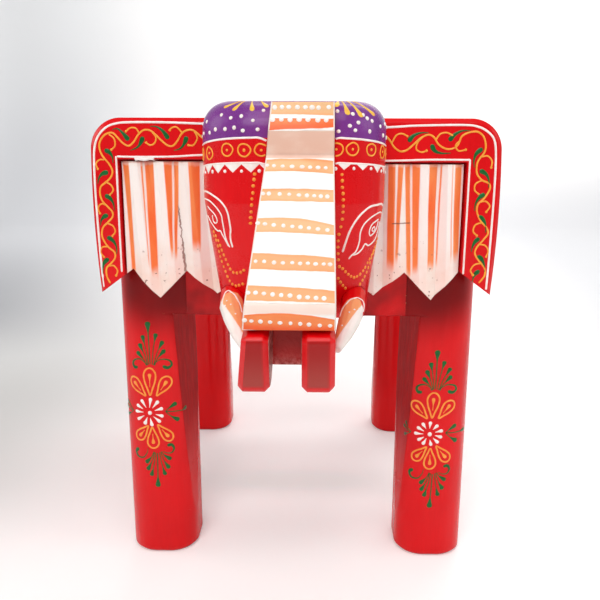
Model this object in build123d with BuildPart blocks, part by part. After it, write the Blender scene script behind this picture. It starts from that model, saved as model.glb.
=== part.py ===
from build123d import *
from math import atan2, cos, degrees, pi, radians, sin
import os

# Carved elephant stool. Millimetres. Z up, floor at Z = 0, the trunk points to -Y.
# X = 0 is the centre line, Y = 0 is half way between the trunk's front and the tail's back.
# "left" and "right" are as seen by someone who faces the elephant (left = -X).

# ---------------------------------------------------------------- driving sizes
stool_length = 390.0  # trunk front to tail back
stool_height = 299.2  # floor to crown
ear_span = 236.0  # across both ears

leg_width = 45.0  # X
leg_depth = 49.6  # Y
leg_centre_x = 91.5
head_reach = 125.2  # trunk's front to the body's front
tail_depth = 12.2  # body's rear to the tail's back
leg_corner_radius = 18.0
leg_head_height = 67.0  # squared head lapped into the body's corner
foot_bevel = 2.4
facet_length = 146.0  # the planed facet runs out this far below the belly
facet_depth = 6.4  # and is this deep under the belly
facet_turn = 12.0  # degrees, how far the facet faces forward

body_height = 115.0
back_drop = 14.0  # top of the body block, under the seat board, below the crown
barrel_radius = 46.0  # the body's sides round over to the back

seat_thickness = 12.5
seat_front_width = 103.0
seat_rear_width = 138.0
seat_front_gap = 11.0  # seat board set back from the body's front
seat_rear_gap = 6.0
seat_edge_bevel = 3.5
seat_corner_radius = 14.0

neck_width = 72.0
neck_height = 90.0
neck_drop = 16.0  # neck's top below the crown

head_width = 99.4
head_height = 116.0
head_depth = 45.7  # ear boards to forehead
cheek_drop = 52.0  # cheeks narrow from this far below the crown
cheek_narrowing = 9.5
cheek_radius = 30.0
crown_rounding = 14.9
jaw_bevel = 4.0

trunk_top_width = 31.4
trunk_tip_width = 47.0
trunk_reach = 66.0  # bottom of the housing that takes the trunk, to the trunk's front
trunk_top_drop = 1.0  # trunk top below the crown
trunk_height = 136.4
trunk_lean_top = 5.2  # as carved, the trunk's top stands this far right of the centre line
trunk_lean_tip = -1.8  # and its tip this far left
tusk_length = 53.0
tusk_radius = 7.2
tusk_root_x = 33.0
tusk_root_inset = 15.2  # into the cheek, from the ear boards' front
tusk_root_rise = 14.0  # above the jaw
slot_width = 15.2
slot_depth = 37.0  # back from the trunk's front
slot_height = 33.0  # up from the trunk's tip
bulge_radius = 9.0
lobe_top_radius = 3.5
lobe_bottom_radius = 7.0
throat_radius = 12.0
lobe_bevel = 2.6
tip_rounding = 7.0  # the tip's outer lower corners, seen from the front

ear_thickness = 22.0
ear_drop = 8.4  # ear boards' top below the crown
ear_height = 105.4
ear_corner_radius = 18.0
ear_bow = 1.7  # the outer side bows out this far between its corner and its tip
ear_edge_bevel = 2.2
left_band_height = 23.2  # painted band along the top; the two ears were cut by eye
right_band_height = 24.3
left_band_width = 16.3  # and down the outer side
right_band_width = 20.1
band_taper = 0.4  # the side band is this much wider at the bottom
rebate_depth = 8.0  # recess that takes the pleated lining
lining_reveal = 1.2  # red line left round the lining
lining_recess = 0.8  # pleat ridges below the band's face
pleat_height = 3.2  # ridge to valley
pleat_pitch = 15.5
left_pleat_lean = 4.0  # degrees, these folds spread outwards at the top
right_pleat_lean = -1.5  # and these, cut by hand like the rest, at the bottom

tail_width = 15.0
tail_drop = 36.0  # tail's top below the crown
tail_length = 112.0

dowel_radius = 4.0
leg_dowel_radius = 6.0
head_dowel_radius = 5.0
peg_radius = 2.5
dowel_clearance = 0.1  # radial glue gap round every dowel and peg
dowel_end_gap = 0.5  # glue gap at each end of a blind hole
leg_dowel_length = 44.0
head_dowel_length = 56.0
head_dowel_spacing = 38.0
seat_dowel_length = 28.0
seat_dowel_inset = 45.0  # from the body's front and rear
seat_dowel_top_cover = 4.5
trunk_upper_dowel_drop = 14.0  # below the trunk's top
trunk_upper_dowel_length = 18.0
trunk_lower_dowel_drop = 75.0
trunk_lower_dowel_length = 30.0
tail_peg_length = 16.0
tail_peg_drop = 14.0  # below the tail's top

screw_shank_radius = 2.0
screw_head_radius = 4.2
screw_head_height = 3.0
screw_length = 38.0
ear_screw_rise = 10.0  # above the squared leg heads
screw_clearance = 0.1

# ---------------------------------------------------------------- worked out from them
half_length = stool_length / 2
trunk_front_y = -half_length
trunk_back_y = trunk_front_y + trunk_reach
slot_back_y = trunk_front_y + slot_depth
back_z = stool_height - back_drop
belly_z = back_z - body_height
neck_top_z = stool_height - neck_drop
neck_bottom_z = neck_top_z - neck_height
jaw_z = stool_height - head_height
cheek_z = stool_height - cheek_drop
trunk_top_z = stool_height - trunk_top_drop
trunk_tip_z = trunk_top_z - trunk_height
ear_top_z = stool_height - ear_drop
tail_top_z = stool_height - tail_drop
tail_bottom_z = tail_top_z - tail_length
half_ear_span = ear_span / 2
leg_outer_x = leg_centre_x + leg_width / 2
leg_inner_x = leg_centre_x - leg_width / 2
leg_head_top_z = belly_z + leg_head_height
body_front_y = trunk_front_y + head_reach
body_rear_y = half_length - tail_depth
front_leg_y = body_front_y + leg_depth / 2
rear_leg_y = body_rear_y - leg_depth / 2
body_middle_y = (body_front_y + body_rear_y) / 2
body_length = body_rear_y - body_front_y
seat_z = back_z + seat_thickness
ear_front_y = body_front_y - ear_thickness
rebate_floor_y = ear_front_y + rebate_depth
cheek_back_y = ear_front_y
half_neck = neck_width / 2

os.makedirs("parts", exist_ok=True)


def save(name, piece):
    """Names one piece and writes its STEP file."""
    piece.part.label = name
    export_step(piece.part, "parts/" + name + ".step")


def rod(start, direction, radius, length, mode=Mode.ADD):
    """Adds a round rod to the piece being built, from start along direction."""
    with Locations(Plane(origin=start, z_dir=direction).location):
        Cylinder(radius, length, align=(Align.CENTER, Align.CENTER, Align.MIN), mode=mode)


def bore(start, direction, radius, length):
    """Cuts a round hole in the piece being built, from start along direction."""
    rod(start, direction, radius, length, mode=Mode.SUBTRACT)


def dowel_hole(centre, direction, radius, length):
    """Cuts the blind hole for a dowel centred on centre, with its glue gaps."""
    half = length / 2 + dowel_end_gap
    axis = Vector(*direction).normalized()
    bore(Vector(*centre) - axis * half, direction, radius + dowel_clearance, 2 * half)


def dowel(centre, direction, radius, length):
    """Adds the dowel itself, centred on centre."""
    axis = Vector(*direction).normalized()
    rod(Vector(*centre) - axis * (length / 2), direction, radius, length)


def trunk_centre_x(height):
    """Where the middle of the leaning trunk is at this height."""
    share = (height - trunk_tip_z) / trunk_height
    return trunk_lean_tip + share * (trunk_lean_top - trunk_lean_tip)


# Where every dowel, peg and screw sits.
leg_dowel_spots = [
    ((side * leg_inner_x, leg_y, belly_z + leg_head_height / 2), side)
    for side in (-1, 1)
    for leg_y in (front_leg_y, rear_leg_y)
]
seat_dowel_z = seat_z - seat_dowel_top_cover - seat_dowel_length / 2
seat_dowel_spots = [
    (0, dowel_y, seat_dowel_z)
    for dowel_y in (body_front_y + seat_dowel_inset, body_rear_y - seat_dowel_inset)
]
head_dowel_z = (neck_top_z + neck_bottom_z) / 2 + 3
head_dowel_spots = [(side * head_dowel_spacing / 2, body_front_y, head_dowel_z) for side in (-1, 1)]
trunk_dowel_spots = [
    ((trunk_centre_x(trunk_top_z - drop), trunk_back_y, trunk_top_z - drop), length)
    for drop, length in (
        (trunk_upper_dowel_drop, trunk_upper_dowel_length),
        (trunk_lower_dowel_drop, trunk_lower_dowel_length),
    )
]
ear_screw_spots = [(2 * half_neck, leg_head_top_z + ear_screw_rise)]
tail_peg_spot = (0, body_rear_y, tail_top_z - tail_peg_drop)

# ---------------------------------------------------------------- legs
with BuildPart() as leg_front_right:
    with BuildSketch(Plane.XY.offset(0)) as post_section:
        with Locations((leg_centre_x, front_leg_y)):
            RectangleRounded(leg_width, leg_depth, leg_corner_radius)
    extrude(amount=belly_z)
    chamfer(leg_front_right.faces().sort_by(Axis.Z)[0].edges(), foot_bevel)
    # Planed facet on the inner front corner, deepest under the belly.
    facet_tilt = degrees(atan2(facet_depth, facet_length))
    facet_foot = Vector(
        leg_inner_x + leg_corner_radius * (1 - cos(radians(facet_turn))),
        body_front_y + leg_corner_radius * (1 - sin(radians(facet_turn))),
        belly_z - facet_length,
    )
    turned = Location((0, 0, 0), (0, 0, facet_turn))
    tilted = Location((0, 0, 0), (0, facet_tilt, 0))
    with Locations(Location(facet_foot) * turned * tilted):
        Box(
            leg_width,
            2 * leg_depth,
            facet_length + leg_width,
            align=(Align.MAX, Align.CENTER, Align.MIN),
            mode=Mode.SUBTRACT,
        )
    # Squared head, round only on the outer front corner, lapped into the body.
    with BuildSketch(Plane.XY.offset(belly_z)) as head_section:
        with Locations((leg_centre_x, front_leg_y)):
            Rectangle(leg_width, leg_depth)
        outer_corner = head_section.vertices().sort_by(Axis.X)[-2:].sort_by(Axis.Y)[0]
        fillet(outer_corner, leg_corner_radius)
    extrude(amount=leg_head_height)
    for spot, side in leg_dowel_spots:
        if side > 0 and spot[1] == front_leg_y:
            dowel_hole(spot, (1, 0, 0), leg_dowel_radius, leg_dowel_length)

with BuildPart() as leg_front_left:
    add(leg_front_right.part.mirror(Plane.YZ))

with BuildPart() as leg_rear_right:
    add(leg_front_right.part.mirror(Plane.XZ.offset(-body_middle_y)))

with BuildPart() as leg_rear_left:
    add(leg_rear_right.part.mirror(Plane.YZ))

save("leg_front_left", leg_front_left)
save("leg_front_right", leg_front_right)
save("leg_rear_left", leg_rear_left)
save("leg_rear_right", leg_rear_right)

with BuildPart() as leg_dowels:
    for spot, side in leg_dowel_spots:
        dowel(spot, (1, 0, 0), leg_dowel_radius, leg_dowel_length)
save("leg_dowels", leg_dowels)

# ---------------------------------------------------------------- body block
with BuildPart() as body_block:
    with BuildSketch(Plane.XY.offset(belly_z)) as body_plan:
        with Locations((0, body_middle_y)):
            RectangleRounded(2 * leg_outer_x, body_length, leg_corner_radius)
    extrude(amount=back_z - belly_z)
    with BuildSketch(Plane.XZ.offset(-body_rear_y)) as barrel:
        with Locations((0, belly_z)):
            Rectangle(2 * leg_outer_x, back_z - belly_z, align=(Align.CENTER, Align.MIN))
        fillet(barrel.vertices().sort_by(Axis.Y)[-2:], barrel_radius)
    extrude(amount=body_length, mode=Mode.INTERSECT)
    # Corner notches that take the squared leg heads, cut on past the body's outside.
    notch_overcut = 10.0
    for side in (-1, 1):
        for leg_y, outwards in ((front_leg_y, -1), (rear_leg_y, 1)):
            with BuildSketch(Plane.XY.offset(belly_z)):
                with Locations((side * leg_centre_x, leg_y)):
                    with Locations((side * notch_overcut, outwards * notch_overcut)):
                        Rectangle(leg_width + 2 * notch_overcut, leg_depth + 2 * notch_overcut)
            extrude(amount=leg_head_height, mode=Mode.SUBTRACT)
    for spot, side in leg_dowel_spots:
        dowel_hole(spot, (1, 0, 0), leg_dowel_radius, leg_dowel_length)
    for spot in seat_dowel_spots:
        dowel_hole(spot, (0, 0, 1), dowel_radius, seat_dowel_length)
    for spot in head_dowel_spots:
        dowel_hole(spot, (0, 1, 0), head_dowel_radius, head_dowel_length)
    for x, z in ear_screw_spots:
        for side in (-1, 1):
            bore(
                (side * x, body_front_y - 1, z),
                (0, 1, 0),
                screw_shank_radius + screw_clearance,
                1 + screw_length - (ear_thickness - rebate_depth) + dowel_end_gap,
            )
    dowel_hole(tail_peg_spot, (0, 1, 0), peg_radius, tail_peg_length)
save("body_block", body_block)

# ---------------------------------------------------------------- seat board
seat_front_y = body_front_y + seat_front_gap
seat_rear_y = body_rear_y - seat_rear_gap

with BuildPart() as seat_board:
    with BuildSketch(Plane.XY.offset(back_z)) as seat_outline:
        with BuildLine():
            Polyline(
                (-seat_front_width / 2, seat_front_y),
                (seat_front_width / 2, seat_front_y),
                (seat_rear_width / 2, seat_rear_y),
                (-seat_rear_width / 2, seat_rear_y),
                close=True,
            )
        make_face()
        fillet(seat_outline.vertices(), seat_corner_radius)
    extrude(amount=seat_thickness)
    chamfer(seat_board.faces().sort_by(Axis.Z)[-1].edges(), seat_edge_bevel)
    for spot in seat_dowel_spots:
        dowel_hole(spot, (0, 0, 1), dowel_radius, seat_dowel_length)
save("seat_board", seat_board)

with BuildPart() as seat_dowels:
    for spot in seat_dowel_spots:
        dowel(spot, (0, 0, 1), dowel_radius, seat_dowel_length)
save("seat_dowels", seat_dowels)

# ---------------------------------------------------------------- trunk
# Side view, as shares of the reach forwards and of the height upwards: forehead, undercut step, long
# slope, bulge, groove and curled tip. The bulge's corner stands out a little before it is rounded.
trunk_shape = [
    (0, 1),
    (0.182, 1),
    (0.227, 0.9032),
    (0.144, 0.8116),
    (1.0176, 0.33),
    (0.9515, 0.2478),
    (0.8561, 0.2375),
    (0.997, 0.2243),
    (0.8636, 0),
    (0.6, 0),
    (0, (jaw_z - trunk_tip_z) / trunk_height),
]
trunk_corners = [
    (trunk_back_y - forwards * trunk_reach, trunk_tip_z + upwards * trunk_height)
    for forwards, upwards in trunk_shape
]
bulge_corner, lobe_top_corner, lobe_bottom_corner, throat_corner = (trunk_corners[n] for n in (4, 7, 8, 9))
half_top_width = trunk_top_width / 2
half_tip_width = trunk_tip_width / 2

with BuildPart() as trunk_taper:
    with BuildSketch(Plane.XZ.offset(-trunk_back_y)):
        with BuildLine():
            Polyline(
                (trunk_lean_top - half_top_width, trunk_top_z),
                (trunk_lean_top - half_top_width, trunk_top_z + 6 * trunk_top_drop),
                (trunk_lean_top + half_top_width, trunk_top_z + 6 * trunk_top_drop),
                (trunk_lean_top + half_top_width, trunk_top_z),
                (trunk_lean_tip + half_tip_width, trunk_tip_z),
                (trunk_lean_tip - half_tip_width, trunk_tip_z),
                close=True,
            )
        make_face()
    extrude(amount=1.1 * trunk_reach)

with BuildPart() as trunk:
    with BuildSketch(Plane.YZ) as trunk_profile:
        with BuildLine():
            Polyline(*trunk_corners, close=True)
        make_face()
        for corner, radius in (
            (bulge_corner, bulge_radius),
            (lobe_top_corner, lobe_top_radius),
            (lobe_bottom_corner, lobe_bottom_radius),
            (throat_corner, throat_radius),
        ):
            fillet(trunk_profile.vertices().sort_by_distance(corner)[0], radius)
    extrude(amount=trunk_tip_width, both=True)
    add(trunk_taper.part, mode=Mode.INTERSECT)
    # Sawn slot between the two tip lobes.
    with BuildSketch(Plane.XY.offset(trunk_tip_z)):
        with Locations((trunk_lean_tip, slot_back_y - slot_depth)):
            Rectangle(slot_width, 2 * slot_depth)
    extrude(amount=slot_height, mode=Mode.SUBTRACT)
    # The lobes' front edges: in front of the lower round and below the groove.
    lobe_edges = trunk.edges().filter_by(
        lambda edge: edge.center().Y < lobe_bottom_corner[0] - 0.015 * trunk_reach
        and 0.008 < (edge.center().Z - trunk_tip_z) / trunk_height < 0.2
    )
    lobe_edges = lobe_edges.filter_by(lambda edge: abs(edge.tangent_at(0.5).X) < 0.5)
    chamfer(lobe_edges, lobe_bevel)
    # A wider outline whose corners cut only the tip's outer lower corners.
    with BuildSketch(Plane.XZ.offset(-trunk_back_y)):
        with Locations((trunk_lean_tip, trunk_tip_z)):
            outline_size = (1.02 * trunk_tip_width, 2 * trunk_height)
            RectangleRounded(*outline_size, tip_rounding, align=(Align.CENTER, Align.MIN))
    extrude(amount=1.1 * trunk_reach, mode=Mode.INTERSECT)
    for spot, length in trunk_dowel_spots:
        dowel_hole(spot, (0, 1, 0), dowel_radius, length)
save("trunk", trunk)

with BuildPart() as trunk_dowels:
    for spot, length in trunk_dowel_spots:
        dowel(spot, (0, 1, 0), dowel_radius, length)
save("trunk_dowels", trunk_dowels)

# ---------------------------------------------------------------- tusks
tusk_sides = 12  # carved facets
# Middle line of the right tusk, root to tip: sideways, forwards and downwards as shares of its
# length, with the radius at each point. Its root is glued into a socket of its own shape in the cheek.
tusk_root = Vector(tusk_root_x, cheek_back_y - tusk_root_inset, jaw_z + tusk_root_rise)
tusk_line = [
    (tusk_root + Vector(sideways, -forwards, -downwards) * tusk_length, share * tusk_radius)
    for sideways, forwards, downwards, share in (
        (0, 0, 0, 0.86),
        (0.0113, 0.283, 0.0358, 0.97),
        (-0.0094, 0.54, 0.096, 0.93),
        (-0.0547, 0.717, 0.174, 0.82),
        (-0.1132, 0.868, 0.276, 0.62),
        (-0.179, 1, 0.3962, 0.25),
    )
]

tusk_rings = []
for point, radius in tusk_line:
    ring_plane = Plane(origin=point, x_dir=(1, 0, 0), z_dir=tusk_line[-1][0] - tusk_root)
    turns = [2 * pi * corner / tusk_sides for corner in range(tusk_sides)]
    tusk_rings.append([ring_plane.from_local_coords(Vector(radius * cos(t), radius * sin(t))) for t in turns])
tusk_faces = [Face(Wire.make_polygon(tusk_rings[0])), Face(Wire.make_polygon(tusk_rings[-1]))]
for lower, upper in zip(tusk_rings, tusk_rings[1:]):
    for corner in range(tusk_sides):
        across = (corner + 1) % tusk_sides
        facet = [lower[corner], lower[across], upper[across], upper[corner]]
        tusk_faces.append(Face(Wire.make_polygon(facet)))

with BuildPart() as tusk_right:
    add(Solid(Shell(tusk_faces)))

# The trunk's tip leans left, so the left tusk is pared flat where it meets the trunk's side.
with BuildPart() as tusk_left:
    add(tusk_right.part.mirror(Plane.YZ))
    add(trunk.part, mode=Mode.SUBTRACT)
save("tusk_left", tusk_left)
save("tusk_right", tusk_right)

# ---------------------------------------------------------------- head block
face_y = cheek_back_y - head_depth
cheek_taper = degrees(atan2(cheek_narrowing, cheek_z - jaw_z))

with BuildPart() as head_block:
    with BuildSketch(Plane.XY.offset(cheek_z)) as face_section:
        with Locations((0, face_y + head_depth)):
            RectangleRounded(head_width, 2 * head_depth, cheek_radius)
    extrude(amount=stool_height - cheek_z)
    fillet(head_block.faces().sort_by(Axis.Z)[-1].edges(), crown_rounding)
    extrude(face_section.sketch, amount=cheek_z - jaw_z, dir=(0, 0, -1), taper=cheek_taper)
    chamfer(head_block.faces().sort_by(Axis.Z)[0].edges(), jaw_bevel)
    # Flat back of the cheeks, against the ear boards, and one half mirrored to make both alike.
    with Locations((0, cheek_back_y, cheek_z)):
        cutter = 2 * head_height
        Box(cutter, cutter, cutter, align=(Align.CENTER, Align.MIN, Align.CENTER), mode=Mode.SUBTRACT)
        Box(cutter, 2 * cutter, cutter, align=(Align.MIN, Align.CENTER, Align.CENTER), mode=Mode.SUBTRACT)
    mirror(about=Plane.YZ)
    # Neck between the two ear boards.
    with BuildSketch(Plane.XZ.offset(-body_front_y)) as neck_section:
        with Locations((0, (neck_bottom_z + neck_top_z) / 2)):
            Rectangle(neck_width, neck_top_z - neck_bottom_z)
    extrude(amount=ear_thickness)
    # Housing for the trunk and sockets for the tusks.
    add(trunk_taper.part, mode=Mode.SUBTRACT)
    add(tusk_right.part, mode=Mode.SUBTRACT)
    add(tusk_left.part, mode=Mode.SUBTRACT)
    for spot in head_dowel_spots:
        dowel_hole(spot, (0, 1, 0), head_dowel_radius, head_dowel_length)
    for spot, length in trunk_dowel_spots:
        dowel_hole(spot, (0, 1, 0), dowel_radius, length)
save("head_block", head_block)

with BuildPart() as head_dowels:
    for spot in head_dowel_spots:
        dowel(spot, (0, 1, 0), head_dowel_radius, head_dowel_length)
save("head_dowels", head_dowels)

# ---------------------------------------------------------------- ears
# Notched lower edge from the outer tip inwards, as shares of the ear's width and height. Board and
# lining share it.
ear_notches = [
    (half_neck + outwards * (half_ear_span - half_neck), ear_top_z - downwards * ear_height)
    for outwards, downwards in (
        (0.9755, 0.9662),
        (0.7423, 0.832),
        (0.55, 1),
        (0.3497, 0.8407),
        (0.1288, 0.971),
        (0, 0.8938),
    )
]

# The lining's folds, seen from above.
ridge_y = ear_front_y + lining_recess
valley_y = ridge_y + pleat_height
fold_points = []
for fold in range(-1, 2 + int((half_ear_span - half_neck) / pleat_pitch)):
    fold_x = half_neck + fold * pleat_pitch
    fold_points.append((fold_x, valley_y))
    fold_points.append((fold_x + pleat_pitch * 0.36, ridge_y))
    fold_points.append((fold_x + pleat_pitch * 0.64, ridge_y))

with BuildPart() as folded_strip:
    with BuildSketch(Plane.XY.offset(ear_top_z - 1.2 * ear_height)):
        with BuildLine():
            Polyline(
                *fold_points,
                (fold_points[-1][0], rebate_floor_y),
                (fold_points[0][0], rebate_floor_y),
                close=True,
            )
        make_face()
    extrude(amount=1.4 * ear_height)


def inside_band(band_width, band_height, gap=0.0):
    """Corners of the area inside the painted band, with a gap along the band's two edges."""
    top_x = half_ear_span - band_width - gap
    top_z = ear_top_z - band_height - gap
    bottom_z = ear_top_z - ear_height
    return [(half_neck, top_z), (top_x, top_z), (top_x - band_taper, bottom_z), (half_neck, bottom_z)]


def ear_board(band_width, band_height):
    """The board of one ear with its recess, as it is on the right."""
    with BuildPart() as board:
        with BuildSketch(Plane.XZ.offset(-body_front_y)) as outline:
            with BuildLine():
                top_corner = (half_ear_span - ear_bow, ear_top_z)
                Polyline(*ear_notches, (half_neck, ear_top_z), top_corner)
                bow = (half_ear_span, (ear_top_z + ear_notches[0][1]) / 2)
                ThreePointArc(top_corner, bow, ear_notches[0])
            make_face()
            fillet(outline.vertices().sort_by_distance(top_corner)[0], ear_corner_radius)
        extrude(amount=ear_thickness)
        # Only the top and outer front edges are bevelled, not the inner side or the notches.
        front_edges = board.faces().sort_by(Axis.Y)[0].edges()
        side_edges = front_edges.filter_by(
            lambda edge: edge.center().X > half_ear_span - band_width
            and edge.center().Z > ear_top_z - 0.8 * ear_height
        )
        top_edges = front_edges.filter_by(
            lambda edge: edge.center().X > half_neck + ear_edge_bevel
            and edge.center().Z > ear_top_z - 0.6 * band_height
        )
        chamfer(set(side_edges + top_edges), ear_edge_bevel)
        with BuildSketch(Plane.XZ.offset(-rebate_floor_y)):
            with BuildLine():
                Polyline(*inside_band(band_width, band_height), close=True)
            make_face()
        extrude(amount=rebate_depth, mode=Mode.SUBTRACT)
        for x, z in ear_screw_spots:
            in_recess = (x, rebate_floor_y - 1, z)
            bore(in_recess, (0, 1, 0), screw_shank_radius + screw_clearance, 2 + ear_thickness)
            head_room = 1 + screw_head_height + screw_clearance
            bore(in_recess, (0, 1, 0), screw_head_radius + screw_clearance, head_room)
    return board.part


def pleated_lining(band_width, band_height, lean):
    """The folded lining of one ear, leaned and trimmed to the recess, as it is on the right."""
    middle = ((half_neck + half_ear_span - band_width) / 2, 0, ear_top_z - 0.62 * ear_height)
    with BuildPart() as lining:
        add(folded_strip.part.rotate(Axis(middle, (0, 1, 0)), lean))
        for corners in (
            inside_band(band_width, band_height, lining_reveal),
            [*ear_notches, (half_neck, ear_top_z), (half_ear_span, ear_top_z)],
        ):
            with BuildSketch(Plane.XZ.offset(-rebate_floor_y)):
                with BuildLine():
                    Polyline(*corners, close=True)
                make_face()
            extrude(amount=rebate_depth, mode=Mode.INTERSECT)
    return lining.part


with BuildPart() as ear_board_left:
    add(ear_board(left_band_width, left_band_height).mirror(Plane.YZ))
save("ear_board_left", ear_board_left)

with BuildPart() as ear_board_right:
    add(ear_board(right_band_width, right_band_height))
save("ear_board_right", ear_board_right)

with BuildPart() as ear_pleats_left:
    add(pleated_lining(left_band_width, left_band_height, left_pleat_lean).mirror(Plane.YZ))
save("ear_pleats_left", ear_pleats_left)

with BuildPart() as ear_pleats_right:
    add(pleated_lining(right_band_width, right_band_height, right_pleat_lean))
save("ear_pleats_right", ear_pleats_right)

with BuildPart() as ear_screws:
    for x, z in ear_screw_spots:
        rod((x, rebate_floor_y, z), (0, 1, 0), screw_shank_radius, screw_length)
        rod((x, rebate_floor_y, z), (0, 1, 0), screw_head_radius, screw_head_height)
    mirror(about=Plane.YZ)
save("ear_screws", ear_screws)

# ---------------------------------------------------------------- tail
with BuildPart() as tail:
    with BuildSketch(Plane.XZ.offset(-half_length)) as tail_outline:
        with BuildLine():
            Polyline(
                (0, tail_top_z),
                (tail_width / 2, tail_top_z),
                (tail_width / 2, tail_top_z - 0.21 * tail_length),
                (0.31 * tail_width, tail_bottom_z + 0.41 * tail_length),
                (0.28 * tail_width, tail_bottom_z + 0.375 * tail_length),
                (tail_width / 2, tail_bottom_z + 0.16 * tail_length),
                (0, tail_bottom_z),
                close=True,
            )
        make_face()
        mirror(about=Plane.YZ)
    extrude(amount=tail_depth)
    dowel_hole(tail_peg_spot, (0, 1, 0), peg_radius, tail_peg_length)
save("tail", tail)

with BuildPart() as tail_peg:
    dowel(tail_peg_spot, (0, 1, 0), peg_radius, tail_peg_length)
save("tail_peg", tail_peg)
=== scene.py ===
# %% [markdown]
# # A carved and painted elephant stool
# The carpenter's solids come in as a fixed frame: legs, body, head, trunk, tusks, ears, seat and tail,
# all in metres and already in place. This lesson does what the painter does after the carpenter. It
# gives each block its coat of enamel and varnish, then squeezes the raised ornament on with a cone.

# %% Load the carpenter's solids
import math
import random

import bpy
from mathutils import Matrix, Vector, noise
from mathutils.bvhtree import BVHTree


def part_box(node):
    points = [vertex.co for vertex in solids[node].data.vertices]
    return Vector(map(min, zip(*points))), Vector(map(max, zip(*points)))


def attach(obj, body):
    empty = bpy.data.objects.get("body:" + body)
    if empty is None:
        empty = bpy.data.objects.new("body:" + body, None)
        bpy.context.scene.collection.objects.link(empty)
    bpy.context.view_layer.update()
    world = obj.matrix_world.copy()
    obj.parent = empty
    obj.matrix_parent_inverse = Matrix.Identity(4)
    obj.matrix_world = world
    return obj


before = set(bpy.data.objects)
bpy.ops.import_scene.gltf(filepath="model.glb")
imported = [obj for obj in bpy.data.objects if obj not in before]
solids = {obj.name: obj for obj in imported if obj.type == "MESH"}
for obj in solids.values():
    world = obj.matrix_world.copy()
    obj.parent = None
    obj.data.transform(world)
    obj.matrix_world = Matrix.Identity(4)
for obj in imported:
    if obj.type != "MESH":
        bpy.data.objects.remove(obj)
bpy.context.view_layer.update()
MM = 0.001

# %% [markdown]
# ## The camera
# A lens is easiest to set from where it stands and how it is turned. The camera stands half a metre in
# front of the elephant, level with its crown, and looks 14 degrees down. It is turned a degree to one
# side. Those three turns make a small frame of right, up and forward, which becomes its rotation.

# %% Camera
CAMERA_PLACE = Vector((11.47, -507.93, 287.49)) * MM
CAMERA_PITCH, CAMERA_YAW, CAMERA_ROLL = 0.2403, 0.0203, 0.0029
FOCAL_PIXELS = 718.2  # for a picture 600 pixels wide


def camera_axes():
    """Right, up and forward of the camera, from its pitch, yaw and roll."""
    level_right = Vector((math.cos(CAMERA_YAW), math.sin(CAMERA_YAW), 0))
    level_forward = Vector((-math.sin(CAMERA_YAW), math.cos(CAMERA_YAW), 0))
    forward = level_forward * math.cos(CAMERA_PITCH) - Vector((0, 0, math.sin(CAMERA_PITCH)))
    level_up = level_right.cross(forward)
    right = level_right * math.cos(CAMERA_ROLL) + level_up * math.sin(CAMERA_ROLL)
    return right, right.cross(forward), forward


camera = bpy.data.objects.new("camera", bpy.data.cameras.new("camera"))
bpy.context.scene.collection.objects.link(camera)
right, up, forward = camera_axes()
camera.matrix_world = Matrix.Translation(CAMERA_PLACE) @ Matrix((right, up, -forward)).transposed().to_4x4()
camera.data.sensor_width = 36
camera.data.lens = FOCAL_PIXELS / 600 * 36
camera.data.clip_start = 0.01
bpy.context.scene.camera = camera
print("camera", [round(v / MM) for v in CAMERA_PLACE], "mm, lens", round(camera.data.lens, 1))

# %% [markdown]
# ## A small language for paint
# Blender's materials are graphs of nodes. Wiring them by hand hides the idea behind them, so one small
# class wraps a socket and lets plus, minus, times and divide add the Math nodes themselves.
# `Paint` starts a material, adds any other node with one method and closes with a glossy shader.


# %% Wire and Paint
class Wire:
    """A node's output that can be used in sums like a number."""

    def __init__(self, paint, socket):
        self.paint, self.socket = paint, socket

    def sum(self, operation, *values):
        sockets = dict(enumerate(values))
        return self.paint.add("Math", {"operation": operation}, sockets)

    def __abs__(self):
        return self.sum("ABSOLUTE", self)

    def most(self, other):
        return self.sum("MAXIMUM", self, other)

    def least(self, other):
        return self.sum("MINIMUM", self, other)

    def ramp(self, start, end):
        """0 before start, 1 after end and smooth between them. Start may be the larger."""
        low, high, first, last = (start, end, 0, 1) if start < end else (end, start, 1, 0)
        sockets = {"Value": self, "From Min": low, "From Max": high, "To Min": first, "To Max": last}
        return self.paint.add("MapRange", {"interpolation_type": "SMOOTHSTEP"}, sockets)

    def between(self, low, high, soft=0.15):
        """1 between low and high, with a soft edge."""
        return self.ramp(low - soft, low + soft) * self.ramp(high + soft, high - soft)


def arithmetic(operation, swapped=False):
    """A method that adds one Math node. Swapped puts the other value first, as in 1 - wire."""

    def method(self, other):
        return self.sum(operation, *((other, self) if swapped else (self, other)))

    return method


for sign, operation in {"add": "ADD", "sub": "SUBTRACT", "mul": "MULTIPLY", "truediv": "DIVIDE"}.items():
    setattr(Wire, f"__{sign}__", arithmetic(operation))
    setattr(Wire, f"__r{sign}__", arithmetic(operation, swapped=True))


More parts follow.
